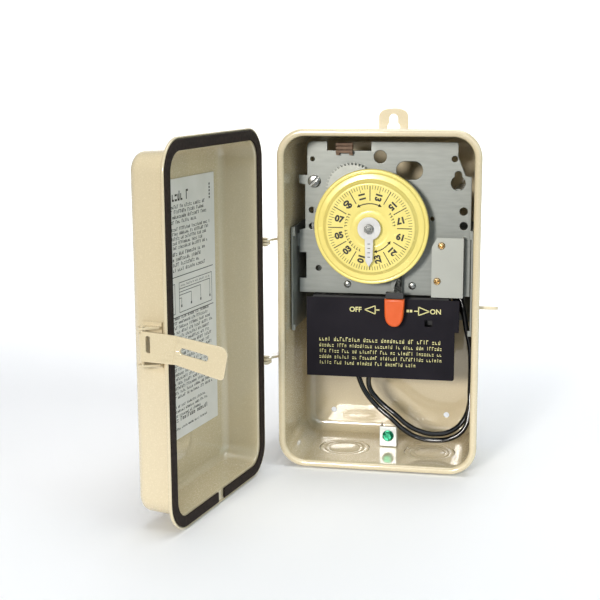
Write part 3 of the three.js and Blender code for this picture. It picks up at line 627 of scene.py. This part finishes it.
def add_pin(node, radius, head):
    """An upright pin with a domed head at each end."""
    low, high = span(node)
    half, wide = (high.z - low.z) / 2, (high.x - low.x) / 2
    cap = [(wide * math.cos(a), half - head + head * math.sin(a)) for a in (0, 0.4, 0.8, 1.2)]
    top = [(radius, half - head), *cap, (0, half)]
    profile = [(r, -t) for r, t in reversed(top)] + top
    place = Matrix.Translation(middle(node)) @ UPRIGHT
    put(soften(lathe(node + "_turned", profile, place, 40), 0), node)


# ---- the door ----
LIFT = 0.8  # the door's middle stands this much above the case's
DOOR_SIZE = (CASE_SIZE[0] + 1.9, CASE_SIZE[1] + 1.9 - LIFT, CASE_SIZE[2] + 1.9)
DOOR_PLACE = AJAR @ Matrix.Translation((0, 0, LIFT))
DOOR_SHEET = 1.3
FACE = -106  # the front of the shut door
FLANGE = -80.2  # the front of the flange that the gasket lies behind
LIP = -77.9  # the rear end of the lip round the flange
PAN = 7.5  # the pan's side, in from the lip's outside
EDGE = 6.5  # the bend between the pan's side and its face


def add_door():
    foot, turn, roll = PAN + 1 + EDGE, FACE + EDGE, DOOR_SHEET / 2
    inside = FLANGE + DOOR_SHEET
    section = [
        *arc(foot, turn, EDGE, 270, 180, 12),  # outside, from the face to the pan's side
        *arc(PAN - 0.8, FLANGE - 0.8, 0.8, 0, 90, 5),  # into the flange
        *arc(1.2, FLANGE + 1.2, 1.2, 270, 180, 5),  # into the lip
        *arc(roll, LIP - roll, roll, 180, 0, 8),  # over the lip's end
        *arc(DOOR_SHEET + 0.3, inside + 0.3, 0.3, 180, 270, 4),  # and back along the inside
        *arc(PAN + DOOR_SHEET - 1.6, inside - 1.6, 1.6, 90, 0, 5),
        *arc(foot, turn, EDGE - DOOR_SHEET, 180, 270, 12),
    ]
    put(soften(sweep("door_pan", section, DOOR_SIZE, DOOR_PLACE), 0), "door_shell")


def add_gasket():
    outer, inner, seat, crest = 1.6, 8.2, FLANGE + DOOR_SHEET + 0.3, -77.4
    crown, pinch, drain = 0.5, 0.2, (-2.4, 6.4)
    section = [
        (outer + pinch, seat), (inner - pinch, seat),
        *arc(inner - crown, crest - crown, crown, 0, 90, 5),
        *arc(outer + crown, crest - crown, crown, 90, 180, 5),
    ]
    strip = sweep("door_gasket", section, DOOR_SIZE, DOOR_PLACE, gap=drain)
    put(soften(strip, 0.2), "gasket")


# ---- print ----
PRINT = 0.03  # the ink's thickness
STROKE_FACES = ((0, 1, 2, 3), (7, 6, 5, 4), (0, 4, 5, 1), (1, 5, 6, 2), (2, 6, 7, 3), (3, 7, 4, 0))


def strokes(name, bars, thick, place):
    """Thin raised bars of ink, each given by its four corners in the plane of place."""
    points, faces = [], []
    for corners in bars:
        start = len(points)
        points += [(u, v, w) for w in (0, thick) for u, v in corners]
        faces += [[start + i for i in face] for face in STROKE_FACES]
    obj = solid(name, points, faces, place)
    for polygon in obj.data.polygons:
        polygon.use_smooth = False
    return obj


def bar(u0, v0, u1, v1):
    return [(u0, v0), (u1, v0), (u1, v1), (u0, v1)]


def line(start, end, width):
    """A straight stroke from start to end."""
    a, b = Vector(start), Vector(end)
    across = (b - a).orthogonal().normalized() * width / 2
    return [tuple(a + across), tuple(b + across), tuple(b - across), tuple(a - across)]


# Made-up letters: each is a few strokes in a cell one unit wide and one unit high.
LETTERS = (
    [(0, 0, 0.2, 1), (0.2, 0.8, 0.75, 1)],
    [(0, 0, 0.2, 0.7), (0.5, 0, 0.7, 0.7), (0.2, 0.5, 0.5, 0.7)],
    [(0.25, 0, 0.45, 1)],
    [(0, 0, 0.75, 0.2), (0, 0.5, 0.75, 0.7)],
    [(0, 0, 0.2, 0.7), (0.2, 0, 0.7, 0.2)],
    [(0, 0, 0.2, 0.7), (0.5, 0, 0.7, 1), (0.2, 0, 0.5, 0.2)],
)


def writing(rng, u0, u1, v, height, pitch=0.95):
    """A line of made-up words between u0 and u1, standing on v."""
    bars, u, left = [], u0, rng.randint(3, 8)
    step = height * pitch
    while u + step < u1:
        if left:
            for x0, y0, x1, y1 in rng.choice(LETTERS):
                cell = 0.86 * step
                bars.append(bar(u + x0 * cell, v + y0 * height, u + x1 * cell, v + y1 * height))
            left -= 1
        else:
            left = rng.randint(2, 9)
        u += step
    return bars


def bold(bars, by):
    """The bars, each made wider to the right."""
    return [bar(*low, high[0] + by, high[1]) for low, _, high, _ in bars]


# The label's sides, seen from behind the shut door, and the margins of its print.
LABEL_LEFT, LABEL_RIGHT, LABEL_LOW, LABEL_HIGH = -40, 50, -76, 90
LABEL_THICK = 0.3
LABEL_GLUE = 0.3
MARGIN_LEFT, MARGIN_RIGHT = 3, 4
TITLE_HEIGHT = 6.2
PARAGRAPHS = ((4, 2.2), (5, 2.0), (4, 2.3))  # lines and their height
LEADING = 1.45  # from line to line, in line heights
DIAGRAM_HEIGHT = 22
SMALL_HEIGHT, SMALL_LEADING = 1.9, 3.0
FOOTER = (1.6, 1.6, 1.6, 2.8, 1.4)  # the heights of its lines
FOOTER_ROOM = 24


def add_label():
    front = FACE + DOOR_SHEET + LABEL_GLUE
    paper = round_rect(-LABEL_RIGHT, LABEL_LOW, -LABEL_LEFT, LABEL_HIGH, 1)
    put(sheet("door_label", paper, [], LABEL_THICK, AJAR @ facing(front), 0.08), "instruction_label")
    reversed_view = Matrix.Diagonal((-1, 1, 1, 1))
    place = AJAR @ facing(front + LABEL_THICK) @ reversed_view
    print_on(strokes("label_print", label_text(), PRINT, place), "instruction_label", "black")


def label_text():
    """A title, a column of small marks, three paragraphs, a diagram, a long paragraph and a footer."""
    rng = random.Random(11)
    left, right = LABEL_LEFT + MARGIN_LEFT, LABEL_RIGHT - MARGIN_RIGHT
    bars = bold(writing(rng, left, right - 33, LABEL_HIGH - 14, TITLE_HEIGHT, 0.62), 0.35)
    for i in range(5):
        z = LABEL_HIGH - 8 - 2.2 * i
        bars.append(bar(right - 4, z, right - 2.4, z + 1.4))
    z = LABEL_HIGH - 18.5
    for lines, height in PARAGRAPHS:
        for _ in range(lines):
            bars += bold(writing(rng, left, right - rng.uniform(0, 22), z, height), 0.22)
            z -= height * LEADING
        z -= 1.2
    bars.append(bar(left, z + 1, right, z + 1.5))
    bars += wiring_boxes(rng, left, right, z - DIAGRAM_HEIGHT)
    z -= DIAGRAM_HEIGHT + 4
    bars.append(bar(left, z + 1.4, right, z + 1.9))
    while z > LABEL_LOW + FOOTER_ROOM:
        bars += bold(writing(rng, left, right - rng.uniform(0, 8), z, SMALL_HEIGHT), 0.2)
        z -= SMALL_LEADING
    z -= SMALL_LEADING
    for height in FOOTER:
        bars += bold(writing(rng, left, right - rng.uniform(4, 20), z, height), 0.25)
        z -= height * 1.9
    return bars


def wiring_boxes(rng, left, right, low):
    """Plain boxes, terminals and lines that stand for a connection diagram."""
    bars, width, tall, margin, terminals = [], 0.4, 19, 3, 4
    for u0, u1 in ((left + 2, left + 28), (left + 34, right - 2)):
        corners = [(u0, low), (u1, low), (u1, low + tall), (u0, low + tall)]
        bars += [line(a, b, width) for a, b in zip(corners, corners[1:] + corners[:1])]
        for i in range(terminals):
            u = u0 + margin + i * (u1 - u0 - 2 * margin) / (terminals - 1)
            head, turn = low + 4.6, low + 9 + 2 * i
            bars.append(bar(u - 0.8, low + 3, u + 0.8, head))
            bars.append(line((u, head), (u, turn), width))
            bars.append(line((u, turn), (u0, turn), width))
        bars += writing(rng, u0 + 2, u1 - 2, low + 16.4, 1.2)
    return bars


# ---- the hasp ----
def add_hasp():
    """A strap that hangs from an upright pin, with its end bent down and slotted for the staple."""
    x, y = 70.3, -94.2  # the pin
    face, thick, low, high = 72.5, 1.6, -10, 6.8
    staple = (-60, -3.2)  # where the slot's middle lies over it, in Y and Z
    bend = (-72, (low + high) / 2)
    dip = Matrix.Rotation(-DROOP, 2)

    def dipped(points, about):
        return [tuple(Vector(about) + dip @ Vector(p)) for p in points]

    end = [(1.6, -8.4), *arc(30, -7, 2.5, -90, 0, 8), *arc(27.5, 4.7, 5, 0, 90, 12), (-1.6, 8.4)]
    outline = [(y, high + 1.3), (y, low), *dipped(end, bend)]
    half_slot, half_high = 8.8, 1.85
    slot = dipped(round_rect(-half_slot, -half_high, half_slot, half_high, 1.6), staple)
    window = round_rect(-91, -4.5, -88.2, 5.4, 0.9)
    strap = sheet("hasp_plate", outline, [slot, window], thick, AJAR @ side_on(face - thick), 0.35)
    bore, rim, ease = 1.3, 2.2, 0.2
    roll = [
        (bore, low), (rim - ease, low), (rim, low + ease),
        (rim, high - ease), (rim - ease, high), (bore, high),
    ]
    knuckle = lathe("knuckle", roll, AJAR @ Matrix.Translation((x, y, 0)) @ UPRIGHT, 40)
    combine(strap, [knuckle], "UNION")
    fold = Matrix.Translation((face, bend[0], bend[1])) @ Matrix.Rotation(-DROOP, 4, "X")
    crease = box("tool", (-0.15, -0.35, -10), (1, 0.35, 10), AJAR @ fold)
    combine(strap, [crease], "DIFFERENCE")
    put(soften(strap, 0.08, 2), "hasp_strap")
    add_pin("hasp_pin", 1.1, 0.6)


# ---- the mechanism plate ----
def add_plate():
    thick = 1.2
    front = span("mechanism_plate")[1].y - thick
    outline = [
        (-59.8, 0.5), (59.8, 0.5), (59.8, 83.2), (55.6, 83.9), (50.5, 96.7),
        *arc(48.5, 104.6, 2, 0, 90, 6), (-9.2, 106.6), (-9.2, 100.4), (-39.8, 100.4), (-39.8, 106.6),
        *arc(-50, 102.6, 4, 90, 180, 10), (-54, 83.4), (-59.8, 83.4), (-59.8, 77.4), (-55.6, 76.6),
        (-55.6, 46), (-59.8, 45), (-59.8, 28.8), (-54.9, 28.8), (-54.9, 10.8), (-59.8, 10.8),
    ]
    punched = (  # x, z and radius
        (-2.9, 96.3, 4.4), (54.6, 59.6, 2.7), (54.8, 49.6, 2.7), (33.2, 54.2, 1.5),
        (-50.6, 58.9, 2.2), (-50.6, 47.6, 2.2), (-46.1, 18, 2), (48, 95.2, 2), (-50.2, 94.4, 1.5),
    )
    holes = [circle(*hole) for hole in punched]
    holes += [round_rect(8.3, 80.9, 26.3, 93.3, 5.9, 12), keyhole(50.6, 78.8, 4.9, 5.8, 2.4)]
    put(sheet("clock_plate", outline, holes, thick, facing(front), 0.38), "mechanism_plate")


# ---- turned and slotted fastenings ----
# An eyelet's section from its middle to its rim, as shares of its radius and its head's height.
EYELET = ((0, 0.5), (0.26, 0.6), (0.34, 0.85), (0.46, 0.3), (0.62, 0), (0.82, 0.15))


def add_fastening(node, dome, slot_angle=None, eyelet=False):
    """A round head that faces the front, domed by this share of its height, slotted if it has an angle.
    An eyelet has a rolled rim round a sunken middle."""
    low, high = span(node)
    wide, tall = (high.x - low.x) / 2, high.y - low.y
    head, shank = min(0.55 * wide, 0.6 * tall), 0.5 * wide
    steps = [i / 6 * math.pi / 2 for i in range(7)]
    cap = [(wide * math.sin(a), head * dome * (1 - math.cos(a))) for a in steps]
    if eyelet:
        cap = [(r * wide, t * head) for r, t in EYELET]
    profile = [*cap, (wide, head), (shank, head), (shank, tall), (0, tall)]
    place = Matrix.Translation((middle(node).x, low.y, middle(node).z))
    obj = lathe(node + "_head", profile, place, 48)
    if slot_angle is not None:
        turn = Matrix.Rotation(math.radians(slot_angle), 4, "Y")
        half = 0.19 * wide
        slot = box("tool", (-wide - 1, -1, -half), (wide + 1, head * 0.8, half), place @ turn)
        combine(obj, [slot], "DIFFERENCE")
    put(soften(obj, 0.08, 2), node)


def add_ground_terminal():
    """A folded bracket on the bottom wall with a slotted hexagonal screw."""
    low, high = span("ground_bracket")
    head_low, head_high = span("ground_screw")
    x, z, thick = middle("ground_screw").x, middle("ground_screw").z, 1.3
    face = round_rect(low.x, low.z, high.x, high.z, 0.8)
    bracket = sheet("earth_bracket", face, [circle(x, z, 2.2)], thick, facing(low.y), 0.35)
    side = round_rect(low.y + 0.4, low.z, high.y, high.z, 0.6)
    walls = [sheet("tool", side, [], thick, side_on(edge), 0.3) for edge in (low.x, high.x - thick)]
    walls.append(box("tool", (low.x + 0.5, low.y + 0.5, low.z), (high.x - 0.5, high.y, low.z + thick)))
    put(soften(combine(bracket, walls, "UNION"), 0.12, 2), "ground_bracket")
    bracket.data.materials[0] = BRIGHT_ZINC
    front, seat, head = head_low.y, low.y - 0.3, 3.5
    place = Matrix.Translation((x, 0, z))
    under = seat - 0.5
    hexagon = [(0, front), (head - 0.6, front), (head, front + 0.5), (head, under), (0, under)]
    screw = lathe("earth_screw", hexagon, place, 6)
    washer = lathe("tool", [(0, seat - 0.6), (3.9, seat - 0.6), (4.1, seat), (0, seat)], place, 40)
    shank = disc(1.9, seat - 1, head_high.y, place, 24)
    combine(screw, [washer, shank], "UNION")
    half_slot, turn = 0.55, Matrix.Rotation(0.9, 4, "Y")
    slot = box("tool", (-5, front - 1, -half_slot), (5, front + 1.3, half_slot), place @ turn)
    put(soften(combine(screw, [slot], "DIFFERENCE"), 0.1, 2), "ground_screw")


# ---- the dial ----
DIAL = middle("dial")
DIAL_LOW, DIAL_HIGH = span("dial")
DIAL_R = (DIAL_HIGH.x - DIAL_LOW.x) / 2
DIAL_FACE = DIAL_LOW.y
PRINTED = 29.7  # radius of the flat that carries the print


def add_dial():
    """A turned dish: a flat face with a grooved hub, two steps down to the rim, and a hollow back."""
    bore, wall, back = 4.2, 1.6, DIAL_HIGH.y - DIAL_FACE
    profile = [
        (bore, 0), (10.6, 0), (11.2, 0.35), (13.2, 0.35), (13.8, 0),
        (PRINTED, 0), *arc(PRINTED, 1.2, 1.2, -90, -20, 5),
        (31.8, 2.2), *arc(33.4, 2.4, 1.1, 180, 90, 5),
        (35.2, 3.7), *arc(35.6, 5.1, 1.4, -90, -10, 5), *arc(38.2, 6.3, 1.3, -130, 0, 8),
        (DIAL_R, back - 0.8), (DIAL_R - 1.1, back), (36.6, back - 0.6),
        (35, 6.6), (32, 5.4), (30.2, 3.2), (28.6, wall), (bore, wall),
    ]
    place = Matrix.Translation((DIAL.x, DIAL_FACE, DIAL.z))
    put(soften(lathe("clock_dial", profile, place, 160), 0), "dial")


def polar(radius, degrees):
    a = math.radians(degrees)
    return (radius * math.cos(a), radius * math.sin(a))


def arc_arrow(radius, start, end):
    """An arc with an arrowhead at each end."""
    points, head, half_head = arc(0, 0, radius, start, end, 18), 7, 1.3
    bars = [line(a, b, 0.7) for a, b in zip(points, points[1:])]
    for tip, back in ((start, head), (end, -head)):
        point, tail = Vector(polar(radius, tip)), Vector(polar(radius, tip + back))
        across = Vector(polar(half_head, tip))
        bars.append([tuple(point), tuple(tail + across), tuple(tail), tuple(tail - across)])
    return bars


TYPE_DEPTH = 0.02  # how far type reaches to each side of its plane


def lettering(name, words, size, weight, place):
    """Plain raised type, centred on place, as a mesh."""
    curve = bpy.data.curves.new(name, "FONT")
    curve.body = words
    curve.size = size
    curve.align_x = "CENTER"
    curve.align_y = "CENTER"
    curve.extrude = TYPE_DEPTH
    curve.offset = weight
    curve.resolution_u = 4
    typed = bpy.data.objects.new(name, curve)
    mesh = bpy.data.meshes.new_from_object(typed)
    bpy.data.objects.remove(typed)
    mesh.transform(Matrix.Diagonal((MM, MM, MM, 1)) @ place)
    obj = bpy.data.objects.new(name, mesh)
    bpy.context.scene.collection.objects.link(obj)
    return obj


QUARTERS = 96  # quarter hours in a day
SECTORS = 12  # each holds two hours and the number of the odd one
FIRST_SECTOR = 255  # degrees
HOUR, QUARTER, TICK_END = 24.6, 26.4, 29  # radii of the ticks
SECTOR_LINE = (18.6, 28.6)
NUMBERS, WORDS = 21.8, 16.6  # radii of the rings of print
NUMBER_SIZE, NUMBER_WEIGHT = 5.8, 0.32
BROAD, FINE = 0.62, 0.34  # widths of the lines


def add_dial_print():
    """Ticks, sector lines, four made-up words between two arrows, and the sectors' numbers."""
    bars = []
    for step in range(QUARTERS):
        angle = step * 360 / QUARTERS
        if step % (QUARTERS // SECTORS) == 0:
            start, end = SECTOR_LINE
            bars.append(line(polar(start, angle), polar(end, angle), BROAD))
        else:
            start = HOUR if step % 4 == 0 else QUARTER
            bars.append(line(polar(start, angle), polar(TICK_END, angle), FINE))
    bars += arc_arrow(WORDS, 62, 122) + arc_arrow(WORDS, -80, -32)
    rng = random.Random(5)
    for centre in (20, 160, 200, 230):
        for offset in (-14, -7, 0, 7, 14):
            a, top = centre + offset, WORDS + 0.8
            bars.append(line(polar(WORDS - 1, a + 1), polar(WORDS + 1, a + 1), 0.4))
            bars.append(line(polar(top - rng.random(), a), polar(top, a + 4), 0.4))
    flat = Matrix.Translation((DIAL.x, DIAL_FACE - PRINT, DIAL.z)) @ facing(0)
    print_on(strokes("dial_marks", bars, PRINT, flat), "dial", "black")
    for sector in range(SECTORS):
        angle = FIRST_SECTOR - sector * 360 / SECTORS
        turn = Matrix.Rotation(math.radians(angle + 180), 4, "Z")
        place = flat @ Matrix.Translation((*polar(NUMBERS, angle), 0)) @ turn
        name, digits = f"dial_number_{sector + 1:02d}", f"{2 * sector + 1:02d}"
        print_on(lettering(name, digits, NUMBER_SIZE, NUMBER_WEIGHT, place), "dial", "black")


def add_pointer():
    """A disc with an arm that hangs from it and narrows to a point."""
    x, z, front = DIAL.x, DIAL.z, span("pointer")[0].y
    radius, half, half_end, shoulder, tip = 7.9, 2.9, 2.5, z - 22, z - 26
    meet = math.degrees(math.asin(half / radius))
    outline = [
        *arc(x, z, radius, 270 + meet, 630 - meet, 56),
        (x - half_end, shoulder), (x, tip), (x + half_end, shoulder),
    ]
    put(sheet("time_pointer", outline, [circle(x, z, 3)], 1.2, facing(front), 0.3), "pointer")
    marks = [bar(x - 0.9, z - d, x + 0.9, z - d + 0.45) for d in (10.5, 13.5, 16.5, 19.5)]
    print_on(strokes("pointer_marks", marks, PRINT, facing(front - PRINT)), "pointer", "grey")


# ---- the lever ----
def add_knob():
    """A thumb piece with a rounded, slightly lopsided foot, moulded round the flat arm."""
    low, high = span("lever_knob")
    left, right, bottom, top = low.x, high.x, low.z, high.z
    x, waist = (left + right) / 2, top - 11.2
    toe = (x + 0.4, bottom)
    outline = [
        (right, top), (left, top),
        *flow((left + 0.2, waist), (left + 0.6, top - 16.6), (left + 3.2, bottom), toe, 14),
        *flow(toe, (x + 4, bottom), (right - 1.2, top - 15.6), (right - 0.6, waist), 14)[1:],
    ]
    knob = sheet("thumb_piece", outline, [], high.y - low.y, facing(low.y), 1.3, 6)
    arm, half = span("lever_arm")[0].y, 3.7
    pocket = box("tool", (x - half, arm - 0.3, top - 11.5), (x + half, arm + 1.5, top + 2))
    put(soften(combine(knob, [pocket], "DIFFERENCE"), 0), "lever_knob")


# ---- the insulating sheet ----
COVER_FRONT = -50.6
COVER_THICK = 0.8
COVER_PRINT = 0.04
COVER_TEXT = ((43, 2.9), (43, 2.5), (43, 2.5), (43, 2.5), (26, 2.5))  # each row's end and height
ROW = 4.15  # from row to row
ARROWS = ((-1.6, -4.6, -11.9), (22.5, 25.6, 33.0))  # tail, neck and tip
ARROW_Z, ARROW_HALF = -9, 2.9


def add_insulator():
    low, high = span("insulator")
    top, step_x, step_z, corner = -1, high.x - 2.9, -23.3, 1.5
    outline = [
        (low.x, low.z), *arc(step_x - corner, low.z + corner, corner, -90, 0, 8),
        (step_x, step_z), (high.x, step_z), (high.x, top), (low.x, top),
    ]
    window = round_rect(29.9, -19.7, 35.1, -15.1, 0.6)
    put(sheet("terminal_cover", outline, [window], COVER_THICK, facing(COVER_FRONT), 0.2), "insulator")
    plane = facing(COVER_FRONT - COVER_PRINT)
    print_on(strokes("cover_marks", cover_text(), COVER_PRINT, plane), "insulator", "straw")
    for words, x in (("OFF", -18.4), ("ON", 37.3)):
        place = plane @ Matrix.Translation((x, -9.2, 0))
        print_on(lettering(f"cover_{words.lower()}", words, 4.9, 0.1, place), "insulator", "straw")


def cover_text():
    """Five rows of made-up words, an arrow to each side, and two dots beside the right one."""
    rng = random.Random(3)
    bars = []
    for row, (end, height) in enumerate(COVER_TEXT):
        bars += writing(rng, -44, end, -32.2 - ROW * row, height, 0.72)
    for tail, neck, tip in ARROWS:
        point = (tip, ARROW_Z)
        upper, lower = (neck, ARROW_Z + ARROW_HALF), (neck, ARROW_Z - ARROW_HALF)
        bars.append(line((tail, ARROW_Z), (neck, ARROW_Z), 0.8))
        bars += [line(a, b, 0.7) for a, b in ((upper, lower), (upper, point), (lower, point))]
    return bars + [bar(u, ARROW_Z - 0.9, u + 1.7, ARROW_Z + 0.9) for u in (17.2, 19.5)]


# ---- CAD nodes that keep their shape ----
def dress(node, width):
    """Gives a CAD node rounded edges and its slot's look."""
    obj = frame["nodes"][node]
    obj.data.materials.clear()
    obj.data.materials.append(LOOK[SLOT[node]])
    obj.data.shade_smooth()
    obj.modifiers.new("weld", "WELD").merge_threshold = 2e-6
    facets = obj.modifiers.new("facets", "DECIMATE")
    facets.decimate_type = "DISSOLVE"
    facets.angle_limit = math.radians(1)
    soften(obj, width)


# ---- the studio ----
def add_light(name, place, target, size, power, colour=(1, 1, 1)):
    lamp = bpy.data.objects.new(name, bpy.data.lights.new(name, "AREA"))
    lamp.data.shape = "DISK"
    lamp.data.size = size
    lamp.data.energy = power
    lamp.data.color = colour
    lamp.location = place
    lamp.rotation_euler = (Vector(target) - Vector(place)).to_track_quat("-Z", "Y").to_euler()
    bpy.context.scene.collection.objects.link(lamp)


def add_floor():
    """A pale floor that curves up behind the object."""
    floor_z = cad_box[0][2] / MM - 0.4
    front, back, radius, top, half, thick = -500, 1800, 700, 3500, 4000, 20
    profile = [(front, floor_z), *arc(back, floor_z + radius, radius, -90, 0, 16), (back + radius, top)]
    profile += [(y + thick, z - thick) for y, z in reversed(profile)]
    points = [(x, y, z) for x in (-half, half) for y, z in profile]
    count = len(profile)
    ends = [range(count), range(count, 2 * count)]
    floor = solid("studio_floor", points, between(0, count, count) + ends)
    white = finish("studio_white", (0.93, 0.93, 0.94), (0.95, 0.95, 0.96), (0.7, 0.8), patch=1)
    floor.data.materials.append(white)
    soften(floor, 0)


def add_lights():
    world = bpy.data.worlds.new("studio")
    bpy.context.scene.world = world
    world.use_nodes = True
    sky = world.node_tree.nodes["Background"]
    sky.inputs["Color"].default_value = (0.70, 0.86, 1.0, 1)
    sky.inputs["Strength"].default_value = 0.12
    case, backdrop = (0, -0.04, 0), (0, 2.4, 0.6)
    add_light("key", (-0.68, -3.0, 0.7), case, 0.6, 66, (1.0, 0.965, 0.915))
    add_light("front", (0.75, -3.2, 1.5), case, 2.0, 22, (0.86, 0.95, 1.0))
    add_light("right", (1.4, -0.8, 0.5), case, 1.0, 4.8, (0.76, 0.97, 1.0))
    add_light("top", (0.1, -0.15, 1.7), case, 1.4, 19)
    add_light("behind", (0, 0.9, 1.4), backdrop, 1.5, 48)
    bpy.context.scene.view_settings.view_transform = "Standard"


# ---- building ----
add_case()
add_knockout("knockout_left")
add_knockout("knockout_right")
add_hanger()
add_staple()
add_hinges()
add_door()
add_gasket()
add_label()
add_hasp()
add_plate()
add_fastening("plate_screw", 0.35, slot_angle=-46)
for node in ("plate_rivet_left", "plate_rivet_right"):
    add_fastening(node, 0.7)
for node in ("cover_rivet_upper", "cover_rivet_lower"):
    add_fastening(node, 0.6, eyelet=True)
for i in range(1, 6):
    add_fastening(f"terminal_screw_{i}", 0.3, slot_angle=20 * i)
add_ground_terminal()
add_dial()
add_dial_print()
add_pointer()
add_knob()
add_insulator()
replaced = {name for obj in bpy.data.objects for name in obj.get("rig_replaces", [])}
for node in sorted(set(SLOT) - replaced):
    toothed = "gear" in node or "pinion" in node
    dress(node, 0.08 if toothed else 0.25)
frame["nodes"]["idler_gear"].data.materials[0] = LOOK["pale_steel"]
add_floor()
add_lights()
